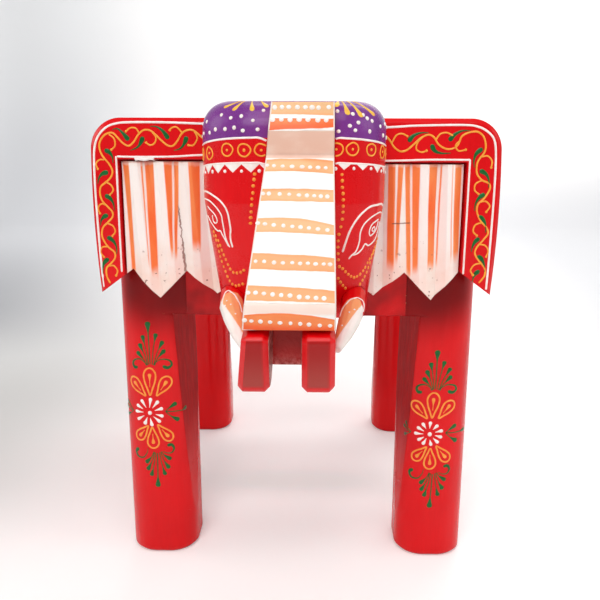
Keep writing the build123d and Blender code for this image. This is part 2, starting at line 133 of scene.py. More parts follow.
class Paint:
    """A material while it is being mixed."""

    def __init__(self, name):
        self.material = bpy.data.materials.new(name)
        self.material.use_nodes = True
        self.tree = self.material.node_tree
        self.tree.nodes.clear()
        self.place = self.add("TexCoord", out="Object")
        self.facing = self.add("TexCoord", out="Normal")
        axes = {out: self.add("SeparateXYZ", sockets={0: self.place}, out=out) * 1000 for out in "XYZ"}
        self.x, self.y, self.z = axes["X"], axes["Y"], axes["Z"]

    def add(self, kind, settings=None, sockets=None, out=0):
        """Adds one node: its settings first, then its sockets' values or links."""
        node = self.tree.nodes.new("ShaderNode" + kind)
        for name, value in (settings or {}).items():
            setattr(node, name, value)
        for name, value in (sockets or {}).items():
            if isinstance(value, Wire):
                self.tree.links.new(value.socket, node.inputs[name])
            else:
                node.inputs[name].default_value = value
        return Wire(self, node.outputs[out]) if node.outputs else None

    def facing_parts(self):
        """X, Y and Z of the direction that the surface faces."""
        return {out: self.add("SeparateXYZ", sockets={0: self.facing}, out=out) for out in "XYZ"}

    def mix(self, mask, first, second):
        """A colour that goes from first to second as the mask goes from 0 to 1."""
        first, second = (c if isinstance(c, Wire) else (*c, 1) for c in (first, second))
        return self.add("Mix", {"data_type": "RGBA"}, {0: mask, 6: first, 7: second}, out=2)

    def cloud(self, scale, detail=3, stretch=(1, 1, 1), roughness=0.5):
        """Noise from 0 to 1, in blotches of about 1/scale mm, stretched along an axis."""
        spread = tuple(1000 * scale / s for s in stretch)
        place = self.add("Mapping", sockets={0: self.place, "Scale": spread})
        sockets = {"Vector": place, "Scale": 1, "Detail": detail, "Roughness": roughness}
        return self.add("TexNoise", sockets=sockets, out=0)

    def finish(self, colour, roughness, bumps=(), coat=0.15, metallic=0, soften=0, glow=None):
        """Closes the material. Bumps are (height wire, distance in mm) pairs."""
        sockets = {"Base Color": colour, "Roughness": roughness, "Metallic": metallic}
        sockets.update({"Coat Weight": coat, "Coat Roughness": 0.1, "IOR": 1.48, "Specular IOR Level": 0.2})
        if glow:
            sockets.update({"Emission Color": glow, "Emission Strength": 1})
        normal = self.add("Bevel", {"samples": 4}, {"Radius": soften * MM}) if soften else None
        for height, distance in bumps:
            parts = {"Height": height, "Distance": distance * MM, "Strength": 1}
            if normal:
                parts["Normal"] = normal
            normal = self.add("Bump", sockets=parts)
        if normal:
            sockets["Normal"] = normal
        shader = self.add("BsdfPrincipled", sockets=sockets)
        self.add("OutputMaterial", sockets={"Surface": shader})
        return self.material


def srgb(red, green, blue):
    """A colour as seen on a screen, 0 to 255, turned into the linear values that nodes use."""
    return tuple(((v / 255 + 0.055) / 1.055) ** 2.4 if v > 10 else v / 3295 for v in (red, green, blue))


print("paint tools ready")

# %% [markdown]
# ## The pots of colour
# The painter works from a few pots: a glossy red enamel, purple, white, two oranges, a yellow for the
# cone work and a dark green. Keeping them together makes sure that the same red is on every block.

# %% Colours
RED, DEEP_RED = srgb(240, 14, 22), srgb(206, 4, 12)
SHADED_RED, GROUND_RED = srgb(118, 1, 3), srgb(150, 4, 5)
PURPLE, DEEP_PURPLE = srgb(136, 62, 150), srgb(106, 44, 124)
WHITE, CREAM, PINK = srgb(254, 252, 248), srgb(250, 226, 208), srgb(250, 224, 211)
LIGHT_ORANGE, MID_ORANGE = srgb(240, 188, 136), srgb(240, 172, 116)
ORANGE, DEEP_ORANGE = srgb(252, 148, 86), srgb(250, 106, 52)
YELLOW, LEAF_YELLOW, GREEN = srgb(250, 178, 64), srgb(250, 204, 76), srgb(14, 108, 46)
BARE_WOOD = srgb(196, 150, 104)
print("red", [round(c, 3) for c in RED])

# %% [markdown]
# ## Red enamel
# Red enamel is brushed over the carved wood and varnished. Up close it is never one colour. The brush
# leaves faint streaks along the grain, the coat is thinner and brighter on high spots, and the tool
# marks under it catch the light. Noise stretched along the grain gives the streaks and a broad cloud gives
# the thick and thin places in the colour; the bump gets streaks and long tool marks of its own.


# %% Enamel
def enamel_red(paint, grain):
    """Red with brush streaks along the grain and a broad change of depth."""
    streaks = paint.cloud(0.9, detail=4, stretch=grain)
    depth = paint.cloud(0.018, detail=2)
    shade = (streaks * 0.35 + depth * 0.9 - 0.2).least(1).most(0)
    return paint.mix(shade, DEEP_RED, RED)


def varnish_roughness(paint, base=0.2):
    """Mostly glossy varnish, with duller breathing patches and fine dust nibs."""
    patches = paint.cloud(0.05, detail=3)
    nibs = paint.cloud(1.6, detail=1)
    return patches * 0.16 + nibs * 0.06 + (base - 0.08)


def carved_bumps(paint, grain, strength=1.0):
    """Long tool marks and brush streaks under the varnish."""
    tool_marks = paint.cloud(0.06, detail=2, stretch=grain)
    streaks = paint.cloud(0.7, detail=3, stretch=grain)
    return [(tool_marks, 0.9 * strength), (streaks, 0.1 * strength)]


def edge_wear(paint, amount=0.5):
    """1 where the coat has worn through along sharp edges, broken up by noise."""
    rounded = paint.add("Bevel", {"samples": 4}, {"Radius": 1.1 * MM})
    flat = paint.add("NewGeometry", out="Normal")
    turned = 1 - paint.add("VectorMath", {"operation": "DOT_PRODUCT"}, {0: rounded, 1: flat}, out="Value")
    broken = paint.cloud(0.35, detail=5, roughness=0.7)
    return (turned * 6).least(1) * broken.ramp(0.66 - 0.1 * amount, 0.74 - 0.1 * amount)


FACET_FACING = (0.978, 0.208)  # inwards and forwards, 12 degrees off the leg's inner side
LEG_OUTER_X = 114


def red_wood(name, grain, facets=False, shaded_front_y=None):
    """Enamelled block. Facets adds a leg's tool-cut face and painted shade on the front legs under the ears.

    The front at the given y is the body's front, darkened with painted shade under the head.
    """
    paint = Paint(name)
    colour = enamel_red(paint, grain)
    roughness = varnish_roughness(paint)
    bumps = carved_bumps(paint, grain)
    shade_edge_noise, coat = paint.cloud(0.05, detail=2), 0.15
    if facets:
        split = paint.facing_parts()
        side = paint.add("Math", {"operation": "SIGN"}, {0: paint.x})
        towards = split["X"] * side * -FACET_FACING[0] + abs(split["Y"]) * FACET_FACING[1]
        cut = towards.ramp(0.984, 0.996) * paint.z.ramp(45, 110)
        rough_grain = paint.cloud(0.35, detail=5, stretch=(1, 1, 5), roughness=0.65)
        dull = (cut * (rough_grain * 1.3 + 0.15)).least(1)
        colour = paint.mix(dull, colour, GROUND_RED)
        # Painted shade: the front legs darken under the ears, reaching lower on the inner side.
        inner = (LEG_OUTER_X - abs(paint.x)).most(0).least(22) * 0.5
        front = split["Y"].ramp(-0.35, -0.9) * paint.y.ramp(-52, -60)
        painted_shade = (paint.z + inner + shade_edge_noise * 6).ramp(160, 192) * front
        colour = paint.mix(painted_shade * 0.9, colour, SHADED_RED)
        roughness = roughness + cut * 0.4
        coat = coat - cut.most(painted_shade) * coat
        bumps.append((rough_grain * cut, 0.3))
    if shaded_front_y is not None:
        # Painted shade on the body's front, under the head and ears.
        painted_shade = (paint.y + shade_edge_noise * 6).ramp(shaded_front_y + 5, shaded_front_y + 1)
        colour = paint.mix(painted_shade, colour, SHADED_RED)
    worn = edge_wear(paint)
    colour = paint.mix(worn * 0.8, colour, BARE_WOOD)
    return paint.finish(colour, roughness + worn * 0.3, bumps, coat, soften=3.5 if facets else 1.2)


ALONG_X, ALONG_Y, ALONG_Z = (14, 1, 1), (1, 14, 1), (1, 1, 14)
BODY_FRONT_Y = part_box("body_block")[0][1] / MM
leg_red = red_wood("red_enamel_legs", ALONG_Z, facets=True)
# The body's front gets painted shade under the head.
body_red = red_wood("red_enamel_body", ALONG_Y, shaded_front_y=BODY_FRONT_Y)
ear_red = red_wood("red_enamel_ears", ALONG_Z)
tail_red = red_wood("red_enamel_tail", ALONG_Z)


def give(names, material):
    """Puts one material on CAD solids."""
    for name in names:
        data = solids[name].data
        data.materials.clear()
        data.materials.append(material)


give([f"leg_{end}_{side}" for end in ("front", "rear") for side in ("left", "right")], leg_red)
give(["body_block"], body_red)
give(["ear_board_left", "ear_board_right"], ear_red)
give(["tail"], tail_red)
print("red enamel on", 8, "solids")

# %% [markdown]
# ## The head's coat
# The head block carries three fields: a purple cap with rounded shoulders, a red band and the red
# cheeks. The edge between cap and band droops a little as it goes round to the ears. That droop is one
# formula, used here for the colour's edge and later for the white line that covers it.

# %% Head colours
HEAD_FRONT_Y = -137.5
CAP_EDGE_Z, CAP_EDGE_DROP, DROOP_LENGTH = 280.7, 4.6, 26
BAND_EDGE_Z, BAND_EDGE_DROP = 268.3, 3.0


def cap_edge(y):
    """Height in mm of the purple cap's lower edge where the head's skin is at y."""
    return CAP_EDGE_Z - CAP_EDGE_DROP * max(0, min(1, (y - HEAD_FRONT_Y) / DROOP_LENGTH))


def band_edge(y):
    """Height in mm of the red band's lower edge where the head's skin is at y."""
    return BAND_EDGE_Z - BAND_EDGE_DROP * max(0, min(1, (y - HEAD_FRONT_Y) / 22))


paint = Paint("purple_and_red_head")
droop = ((paint.y - HEAD_FRONT_Y) / DROOP_LENGTH).most(0).least(1) * CAP_EDGE_DROP
in_cap = (paint.z + droop).ramp(CAP_EDGE_Z - 0.3, CAP_EDGE_Z + 0.3)
purple = paint.mix(paint.cloud(0.06, detail=3), DEEP_PURPLE, PURPLE)
colour = paint.mix(in_cap, enamel_red(paint, ALONG_Z), purple)
worn = edge_wear(paint)
colour = paint.mix(worn * 0.35, colour, BARE_WOOD)
head_paint = paint.finish(colour, varnish_roughness(paint, 0.24), carved_bumps(paint, ALONG_Z), soften=1.5)
give(["head_block"], head_paint)
print("cap edge from", cap_edge(-137.5), "to", cap_edge(-111), "mm")

# %% [markdown]
# ## The trunk's bands
# The front of the trunk is white with hand-brushed orange bands, and its sides, groove and curled tip
# are red. A brushed edge is never level, so each band's edge is a small curve through three heights: at
# the trunk's left side, its middle and its right side. The trunk leans and tapers, so places across it
# are first turned into shares of its width there. Watery paint pools and darkens along a band's edges.

# %% Trunk colours
TRUNK_TOP_Z, TRUNK_TIP_Z = 298.2, 161.8
TRUNK_TIP_X, TRUNK_LEAN = -1.8, 7.0
TRUNK_TIP_HALF, TRUNK_TAPER = 23.5, 7.8


def trunk_middle(z):
    """Where the middle of the leaning trunk is at this height, in mm."""
    return TRUNK_TIP_X + TRUNK_LEAN * (z - TRUNK_TIP_Z) / (TRUNK_TOP_Z - TRUNK_TIP_Z)


def trunk_half(z):
    """Half the trunk's width at this height, in mm."""
    return TRUNK_TIP_HALF - TRUNK_TAPER * (z - TRUNK_TIP_Z) / (TRUNK_TOP_Z - TRUNK_TIP_Z)


def above_edge(paint, heights, wobble):
    """Millimetres above a brushed edge, given by its heights at the left side, middle and right side."""
    left, middle, right = heights
    across = (paint.x - trunk_middle(middle)) / trunk_half(middle)
    curve = across * ((right - left) / 2) + across * across * ((left + right) / 2 - middle)
    return paint.z - middle - curve + wobble


TRUNK_BANDS = [  # upper edge, lower edge, colour at the top and colour at the bottom
    ((299, 299, 299), (292.2, 292.1, 291.6), LIGHT_ORANGE, LIGHT_ORANGE),
    ((290.3, 290.2, 290.1), (284.5, 285.2, 285.9), ORANGE, DEEP_ORANGE),
    ((270.0, 270.6, 269.5), (264.3, 264.5, 263.5), LIGHT_ORANGE, LIGHT_ORANGE),
    ((256.5, 256.7, 256.0), (251.1, 251.0, 250.6), LIGHT_ORANGE, LIGHT_ORANGE),
    ((243.4, 243.6, 240.5), (237.6, 237.3, 236.3), LIGHT_ORANGE, LIGHT_ORANGE),
    ((228.8, 228.3, 227.0), (222.2, 221.8, 221.2), MID_ORANGE, MID_ORANGE),
    ((216.0, 215.3, 214.0), (209.9, 209.6, 209.2), MID_ORANGE, MID_ORANGE),
    ((203.5, 204.3, 201.4), (195.9, 195.1, 194.7), ORANGE, DEEP_ORANGE),
]
paint = Paint("banded_trunk")
fine_wobble = (paint.cloud(0.12, detail=3) - 0.5) * 0.9
chalk = paint.cloud(0.03, detail=3)
colour = paint.mix(chalk, WHITE, srgb(252, 247, 242))
# Painted shade: a pale pink band where the trunk's front starts to turn under.
turn_shade = paint.z.between(203.8, 209.2, 0.8) * (paint.cloud(0.08, detail=2) * 0.6 + 0.55).least(1)
colour = paint.mix(turn_shade, colour, PINK)
# The downward-facing undercut is pink-beige: partly its own paint, partly painted shade.
undercut = paint.z.between(270.8, 284.2, 0.3)
patches = paint.cloud(0.09, detail=4, stretch=(2, 1, 1)).ramp(0.35, 0.65)
colour = paint.mix(undercut, colour, paint.mix(patches, srgb(240, 198, 178), srgb(250, 220, 204)))
for upper, lower, light, deep in TRUNK_BANDS:
    below_top = 0 - above_edge(paint, upper, fine_wobble)
    above_low = above_edge(paint, lower, fine_wobble)
    pools = paint.cloud(0.07, detail=3, stretch=(3, 1, 1)).ramp(0.45, 0.75)
    rim = below_top.least(above_low).ramp(1.3, 0.2)
    tint = paint.mix((pools * 0.75 + rim * 0.35).least(1), light, ORANGE if light != ORANGE else DEEP_ORANGE)
    if deep != light:
        tint = paint.mix(above_low.ramp(4.6, 1.2), tint, deep)
    band = above_low.ramp(-0.12, 0.12) * below_top.ramp(-0.12, 0.12)
    colour = paint.mix(band, colour, tint)
share = (paint.z - TRUNK_TIP_Z) / (TRUNK_TOP_Z - TRUNK_TIP_Z)
from_side = (TRUNK_TIP_HALF - share * TRUNK_TAPER) - abs(paint.x - (share * TRUNK_LEAN + TRUNK_TIP_X))
colour = paint.mix(from_side.ramp(0.75, 0.55) * (1 - undercut), colour, srgb(250, 232, 222))
split = paint.facing_parts()
is_side = abs(split["X"]).ramp(0.6, 0.75)
is_tip = (paint.z + fine_wobble * 0.4).ramp(194.9, 194.6)
is_under = split["Z"].ramp(-0.35, -0.5) * paint.z.ramp(262, 258)
red_here = is_side.most(is_tip).most(is_under)
colour = paint.mix(red_here, colour, enamel_red(paint, ALONG_Z))
# Painted shade darkens the lobes' front faces; lower down they go pinker, a painted reflection of the floor.
tip_face = paint.z.between(163, 191.5, 1.6) * split["Y"].ramp(-0.85, -0.96)
tip_face = tip_face * abs(paint.x - TRUNK_TIP_X).between(10.2, 20.8, 1.5)
tip_shade_and_reflection = paint.mix(paint.z.ramp(188, 165), srgb(158, 12, 10), srgb(166, 66, 58))
colour = paint.mix(tip_face * 0.9, colour, tip_shade_and_reflection)
SLOT_REACH = 7.8  # just past the slot's sides
in_tip = paint.z.ramp(195, 194)
slot_sides = is_side * paint.x.between(TRUNK_TIP_X - SLOT_REACH, TRUNK_TIP_X + SLOT_REACH, 0.1) * in_tip
slot_back = paint.y.ramp(-160, -158.5) * split["Y"].ramp(-0.8, -0.9) * in_tip
sawn = paint.cloud(0.5, detail=6, stretch=(1, 4, 1), roughness=0.7)
sawn_wood = paint.mix(sawn.ramp(0.3, 0.7), srgb(128, 34, 30), srgb(226, 158, 150))
colour = paint.mix(slot_sides.most(slot_back * paint.z.ramp(178, 162)), colour, sawn_wood)
colour = paint.mix(slot_back * paint.z.ramp(168, 180), colour, srgb(206, 50, 46))
rough_place = slot_sides.most(slot_back * 0.6)
roughness = varnish_roughness(paint, 0.3) + rough_place * 0.4
bumps = carved_bumps(paint, ALONG_X, 0.5) + [(sawn * rough_place, 0.9)]
trunk_paint = paint.finish(colour, roughness, bumps, coat=0.25, soften=1.4)
give(["trunk"], trunk_paint)
print("trunk bands", len(TRUNK_BANDS))

# %% [markdown]
# ## Pleats and tusks
# The pleated linings are white with an orange stripe down each fold, brushed from the top and left to
# run dry before the points. The stripes follow the leaning folds, so each stripe is given by its edges at
# the top and at the bottom. The tusks are ivory with an orange cuff, and their roots are as red as the
# cheek they come out of.


# %% Pleats
def pleat_paint(name, stripes, crack):
    """White pleats with orange stripes that narrow downwards, and one crack between two places."""
    paint = Paint(name)
    wobble = (paint.cloud(0.06, detail=2, stretch=(1, 1, 3)) - 0.5) * 1.3
    down = (263 - paint.z) / 60
    colour = paint.mix(paint.cloud(0.04, detail=3) * 0.3, WHITE, CREAM)
    low = paint.z.ramp(226, 198) * paint.cloud(0.08, detail=3)
    colour = paint.mix((low * 1.7).least(1), colour, PINK)
    for (top_left, top_right), (low_left, low_right), lowest in stripes:
        from_left = paint.x + wobble - down * (low_left - top_left) - top_left
        to_right = down * (low_right - top_right) + top_right - paint.x - wobble
        stripe = from_left.least(to_right).ramp(-0.3, 0.5)
        dry = (paint.z + paint.cloud(0.25, detail=3, stretch=(1, 1, 4)) * 9 - 4).ramp(lowest - 3, lowest + 6)
        pooled = paint.cloud(0.06, detail=3, stretch=(1, 1, 3)).ramp(0.35, 0.75)
        colour = paint.mix(stripe * dry, colour, paint.mix(pooled, ORANGE, DEEP_ORANGE))
    ragged = paint.cloud(0.25, detail=4)
    filler = (paint.z + ragged * 3 + paint.cloud(0.06, detail=1) * 4).ramp(267.2, 268.4)
    colour = paint.mix(filler * ragged * 0.7, colour, srgb(250, 234, 222))
    grey_edge = (paint.z + ragged * 1.6).ramp(266.0, 266.8)
    colour = paint.mix(grey_edge * ragged, colour, srgb(206, 160, 146))
    pits = paint.cloud(0.42, detail=2).ramp(0.68, 0.72) * paint.z.ramp(228, 200)
    (x0, z0), (x1, z1) = crack
    if z0 == z1:
        from_crack, gape = abs(paint.z - z0 + (ragged - 0.5) * 1.2), 0.3
        along = paint.x.between(x0, x1, 0.6)
    else:
        from_crack = abs(paint.x - (x0 + (paint.z - z0) * ((x1 - x0) / (z1 - z0))) + (ragged - 0.5) * 3.4)
        gape = 0.3 + paint.z.ramp(225, 204) * 0.45
        along = paint.z.between(z1, z0, 2)
    split_open = (from_crack - gape).ramp(0.12, -0.1) * along
    colour = paint.mix(pits.most(split_open) * 0.75, colour, srgb(140, 82, 68))
    bumps = carved_bumps(paint, ALONG_Z, 0.45) + [(1 - pits.most(split_open), 0.45)]
    return paint.finish(colour, varnish_roughness(paint, 0.34), bumps, coat=0.2, soften=0.7)


LEFT_STRIPES = [  # at the top: left and right edge, at the bottom: left and right edge, lowest height
    ((-99.6, -95.6), (-97.7, -95.3), 198), ((-89.2, -88.0), (-86.7, -86.2), 206), ((-87.0, -81.5),
    (-85.6, -81.7), 200),
    ((-75.4, -71.1), (-73.2, -72.0), 212), ((-70.3, -67.4), (-71.4, -70.2), 210), ((-61.5, -54.9),
    (-60.0, -55.5), 217),
    ((-50.5, -44.5), (-49.0, -45.0), 225), ((-41.0, -38.0), (-41.0, -38.0), 215),
]
RIGHT_STRIPES = [
    ((53.2, 57.4), (54.1, 58.5), 205), ((58.6, 62.0), (58.6, 60.0), 208), ((62.8, 66.0), (65.7, 68.5), 200),
    ((67.0, 71.4), (69.3, 72.4), 203), ((76.5, 81.7), (77.9, 82.0), 204), ((83.1, 84.2), (83.0, 84.0), 206),
    ((89.4, 90.0), (91.2, 92.0), 210), ((91.0, 95.4), (92.6, 96.1), 211), ((42.0, 47.0), (43.0, 47.0), 214),
]
LEFT_CRACK, RIGHT_SEAM = ((-68.4, 240), (-65.4, 201)), ((56.5, 231.4), (67.0, 231.4))
give(["ear_pleats_left"], pleat_paint("white_orange_pleats_left", LEFT_STRIPES, LEFT_CRACK))
give(["ear_pleats_right"], pleat_paint("white_orange_pleats_right", RIGHT_STRIPES, RIGHT_SEAM))
print("stripes", len(LEFT_STRIPES), len(RIGHT_STRIPES))

# %% Tusks
TUSK_ROOT, TUSK_LENGTH = (33.0, -107.0, 197.2), 53.0


def tusk_bend(forward, power):
    """How far a tusk has bent at this share of its length: sideways (power 1) or down (power 2)."""
    late = (forward - 0.45).most(0) if isinstance(forward, Wire) else max(0.0, forward - 0.45)
    if power == 1:
        return late * 7.0 + late * late * 20.0
    return forward * 5.0 + late * 9.0 + late * late * 37.0


paint = Paint("ivory_tusks")
forward = (TUSK_ROOT[1] - paint.y) / TUSK_LENGTH
outwards = abs(paint.x) - TUSK_ROOT[0] + tusk_bend(forward, 1)
under = (TUSK_ROOT[2] - paint.z) - tusk_bend(forward, 2)
ragged = (paint.cloud(0.15, detail=3) - 0.5) * 0.07
ivory = (forward + outwards * 0.05 + under * 0.03 + ragged).ramp(0.77, 0.81)
cuff_start = paint.x.ramp(-5, 5) * 0.12 + (under + 6).most(0) * 0.014 + 0.46
colour = paint.mix(paint.cloud(0.1, detail=3), LIGHT_ORANGE, ORANGE)
colour = paint.mix(ivory, colour, paint.mix(paint.cloud(0.05, detail=3) * 0.5, srgb(254, 252, 248), CREAM))
colour = paint.mix((cuff_start - forward).ramp(-0.01, 0.01), colour, enamel_red(paint, ALONG_Y))
tusk_paint = paint.finish(colour, varnish_roughness(paint, 0.3), carved_bumps(paint, ALONG_Y, 0.4), soften=1.5)
give(["tusk_left", "tusk_right"], tusk_paint)
print("tusk tip bends in by", round(tusk_bend(1.0, 1), 1), "mm and down by", round(tusk_bend(1.0, 2), 1))

# %% [markdown]
# ## Seat, dowels and screws
# The seat board is painted as the elephant's saddle cloth: a purple field inside a red border, to match
# the cap. Dowels and pegs are bare wood with end grain, and the screws are plain steel. They are hidden
# once the stool is glued up, but they are part of it.

# %% Seat and hidden parts
SEAT_FRONT_Y, SEAT_REAR_Y = -58.8, 176.8
SEAT_FRONT_HALF, SEAT_REAR_HALF = 51.5, 69.0
paint = Paint("purple_and_red_seat")
SEAT_FLARE = (SEAT_REAR_HALF - SEAT_FRONT_HALF) / (SEAT_REAR_Y - SEAT_FRONT_Y)
half_width = SEAT_FRONT_HALF + (paint.y - SEAT_FRONT_Y) * SEAT_FLARE
inset = (half_width - abs(paint.x)).least(paint.y - SEAT_FRONT_Y).least(SEAT_REAR_Y - paint.y)
field = inset.ramp(16.7, 17.3) * paint.z.ramp(296.7, 297.4)
purple = paint.mix(paint.cloud(0.03, detail=3), DEEP_PURPLE, PURPLE)
colour = paint.mix(field, enamel_red(paint, ALONG_Y), purple)
colour = paint.mix(edge_wear(paint) * 0.6, colour, BARE_WOOD)
seat_paint = paint.finish(colour, varnish_roughness(paint, 0.24), carved_bumps(paint, ALONG_Y, 0.7), soften=1.2)
give(["seat_board"], seat_paint)

paint = Paint("bare_wood")
rings = paint.cloud(0.3, detail=4, stretch=(1, 1, 8))
colour = paint.mix(rings, BARE_WOOD, srgb(150, 104, 66))
wood = paint.finish(colour, rings * 0.2 + 0.5, [(rings, 0.1)], coat=0)
give(["leg_dowels", "seat_dowels", "head_dowels", "trunk_dowels", "tail_peg"], wood)

paint = Paint("screw_steel")
scuffs = paint.cloud(1.5, detail=3)
colour = paint.mix(scuffs, srgb(150, 150, 154), srgb(190, 190, 194))
steel = paint.finish(colour, scuffs * 0.2 + 0.3, coat=0, metallic=1)
give(["ear_screws"], steel)
print("materials", len(bpy.data.materials))

# %% [markdown]
# ## Laying paint on a carved surface
# Cone work is thick paint squeezed out of a paper cone. Each line stands up a little and has a round
# back. It has to lie on the wood wherever the wood goes, so every point of a line is found by shooting
# a ray at the solid and is stored with the surface's normal. A `Skin` knows how to shoot at a solid from
# a flat sheet of coordinates: straight at a board, or wrapped round a head or a leg.


# %% Skins
class Skin:
    """Finds the point on a solid's surface for a place on a flat sheet, in millimetres."""

    def __init__(self, names, ray):
        points, faces = [], []
        for name in names:
            first = len(points)
            points += [v.co.copy() for v in solids[name].data.vertices]
            faces += [[first + i for i in p.vertices] for p in solids[name].data.polygons]
        self.tree, self.ray = BVHTree.FromPolygons(points, faces), ray

    def at(self, u, v):
        """The surface point and its normal, or nothing where the ray misses."""
        start, towards = self.ray(u, v)
        place, normal, _, _ = self.tree.ray_cast(Vector(start) * MM, Vector(towards).normalized())
        if place is None:
            return None
        return place, normal if normal.dot(Vector(towards)) < 0 else -normal


def straight_at_front(x, z):
    return (x, -400, z), (0, 1, 0)


def round_block(centre_x, centre_y, half_width, half_depth, radius):
    """Rays for a sheet wrapped round an upright block, u mm round from the middle of its front."""

    def ray(u, z):
        side, u = (1 if u >= 0 else -1), abs(u)
        flat, corner = half_width - radius, radius * math.pi / 2
        if u <= flat:
            place, out = (u, -half_depth), (0, -1)
        elif u <= flat + corner:
            turn = (u - flat) / radius
            out = (math.sin(turn), -math.cos(turn))
            place = (flat + radius * out[0], radius - half_depth + radius * out[1])
        else:
            place, out = (half_width, radius - half_depth + u - flat - corner), (1, 0)
        start = (centre_x + side * (place[0] + 40 * out[0]), centre_y + place[1] + 40 * out[1], z)
        return start, (-side * out[0], -out[1], 0)

    return ray


head_skin = Skin(["head_block"], round_block(0, -91.8, 50.5, 45.7, 30))
leg_skins = {
    side: Skin([name], round_block(side * 91.5, -45, 22.5, 24.8, 18))
    for side, name in ((-1, "leg_front_left"), (1, "leg_front_right"))
}
ear_skins = {
    -1: Skin(["ear_board_left"], straight_at_front),
    1: Skin(["ear_board_right"], straight_at_front),
}
trunk_skin = Skin(["trunk"], straight_at_front)
seat_skin = Skin(["seat_board"], lambda x, y: ((x, y, 500), (0, 0, -1)))
print("head front at", [round(v / MM, 1) for v in head_skin.at(30, 250)[0]])

# %% [markdown]
# ## The cone and the dot stick
# A stroke starts as a few control points on the flat sheet. A smooth curve goes through them, and a
# ribbon with a rounded back is built along it. Its width can swell and shrink, which gives lines, drops
# and buds from one tool. Dots are low domes. Everything in one colour on one block becomes one piece.


# %% Cone
class Cone:
    """Collects strokes and dots of one colour on one skin, then makes one mesh of them."""

    BACK = ((-0.5, -0.12), (-0.36, 0.62), (0, 1), (0.36, 0.62), (0.5, -0.12))

    LIFT = 0.32  # a stroke's height in mm

    def __init__(self, skin, seed, step=0.7):
        self.skin, self.step = skin, step
        self.points, self.faces, self.hand = [], [], random.Random(seed)

    def smooth(self, controls, closed=False):
        """Catmull-Rom curve through the control points, in even steps."""
        count, curve = len(controls), []
        for span in range(count if closed else count - 1):
            picks = [span - 1, span, span + 1, span + 2]
            picks = [p % count if closed else max(0, min(count - 1, p)) for p in picks]
            a, b, c, d = (Vector(controls[p]) for p in picks)
            pieces = max(2, round((c - b).length / self.step))
            for piece in range(pieces):
                t = piece / pieces
                curve.append(
                    0.5 * (2 * b + (c - a) * t + (2 * a - 5 * b + 4 * c - d) * t**2 + (3 * b - a - 3 * c + d) * t**3)
                )
        if not closed:
            curve.append(Vector(controls[-1]))
        return curve

    def stroke(self, controls, width, shape="line", closed=False):
        """One stroke: a line, a drop that swells to its end or a bud on a thin stem."""
        curve = self.smooth(controls, closed)
        found = [(p, self.skin.at(*p)) for p in curve]
        found = [(p, hit) for p, hit in found if hit]
        if len(found) < 3:
            return
        rows, total = [], len(found)
        for index, (_, (place, normal)) in enumerate(found):
            before = found[index - 1][1][0] if index or closed else place
            after = found[(index + 1) % total][1][0] if index < total - 1 or closed else place
            along = (after - before).normalized()
            side = along.cross(normal).normalized()
            share = index / (total - 1)
            size = width * MM * (1 if closed else self.swell(share, shape, width, total))
            size *= 1 + 0.1 * noise.noise(place * 900)
            height = min(self.LIFT, 0.42 * size / MM + 0.04) * MM
            rows.append(len(self.points))
            for across, rise in self.BACK:
                self.points.append(place + side * (across * size) + normal * (rise * height))
        pairs = list(zip(rows, rows[1:])) + ([(rows[-1], rows[0])] if closed else [])
        for low, high in pairs:
            for k in range(4):
                self.faces.append((low + k, low + k + 1, high + k + 1, high + k))

    def swell(self, share, shape, width, total):
        """Share of the full width at this share of the stroke's length."""
        cap = min(0.5, 0.5 * width / (total * self.step))
        if shape in ("drop", "bud"):
            belly = 1 - (1.6 if shape == "drop" else 1.5) * cap
            if share >= belly:
                return math.sqrt(max(0.0, 1 - ((share - belly) / (1 - belly)) ** 2)) * 0.98 + 0.02
            if shape == "drop":
                return 0.16 + 0.84 * (share / belly) ** 1.7
            stem = max(0.05, 1 - 4.4 * cap)
            return 0.2 + 0.8 * ((share - stem) / (belly - stem)) ** 1.2 if share >= stem else 0.2
        ends = min(share, 1 - share) / max(cap, 1e-4)
        return math.sqrt(max(0.02, 1 - (1 - min(1, ends)) ** 2))

    def dot(self, u, v, radius, rise=0.5, tall=1.0):
        """A dome of paint. Tall stretches it along v."""
        hit = self.skin.at(u, v)
        if not hit:
            return
        place, normal = hit
        sides = 10
        across = Vector((0, 0, 1)).cross(normal)
        across = across.normalized() if across.length > 0.1 else Vector((1, 0, 0))
        upwards = normal.cross(across)
        radius *= MM * self.hand.uniform(0.9, 1.1)
        tilt = self.hand.uniform(0.93, 1.08)
        first = len(self.points)
        for reach, height in ((1, -0.1), (0.86, 0.55), (0.5, 0.9)):
            for k in range(sides):
                turn = 2 * math.pi * k / sides
                flat = across * (math.cos(turn) * tilt) + upwards * (math.sin(turn) * tall / tilt)
                self.points.append(place + flat * (radius * reach) + normal * (height * rise * radius))
        self.points.append(place + normal * (rise * radius))
        for ring in range(3):
            low, top = first + ring * sides, first + 3 * sides
            for k in range(sides):
                a, b = low + k, low + (k + 1) % sides
                self.faces.append((a, b, b + sides, a + sides) if ring < 2 else (a, b, top))

    def ring(self, u, v, radius, width, squash=1.0):
        """A closed circle, drawn a little unevenly."""
        turn = self.hand.uniform(0, 1)
        controls = []
        for k in range(9):
            angle = 2 * math.pi * (k + turn) / 9
            reach = radius * self.hand.uniform(0.93, 1.07)
            controls.append((u + reach * squash * math.cos(angle), v + reach * math.sin(angle)))
        self.stroke(controls, width, closed=True)

    def strip(self, edges):
        """A flat patch of paint between pairs of sheet points: [((u, v), (u, v)), ...]."""
        columns = []
        for low, high in edges:
            column = []
            for part in range(5):
                hit = self.skin.at(*(Vector(low).lerp(Vector(high), part / 4)))
                if hit:
                    rise = 0.1 if 0 < part < 4 else -0.02
                    self.points.append(hit[0] + hit[1] * (rise * MM))
                    column.append(len(self.points) - 1)
            columns.append(column)
        for first, second in zip(columns, columns[1:]):
            if len(first) == len(second) == 5:
                for k in range(4):
                    self.faces.append((first[k], second[k], second[k + 1], first[k + 1]))

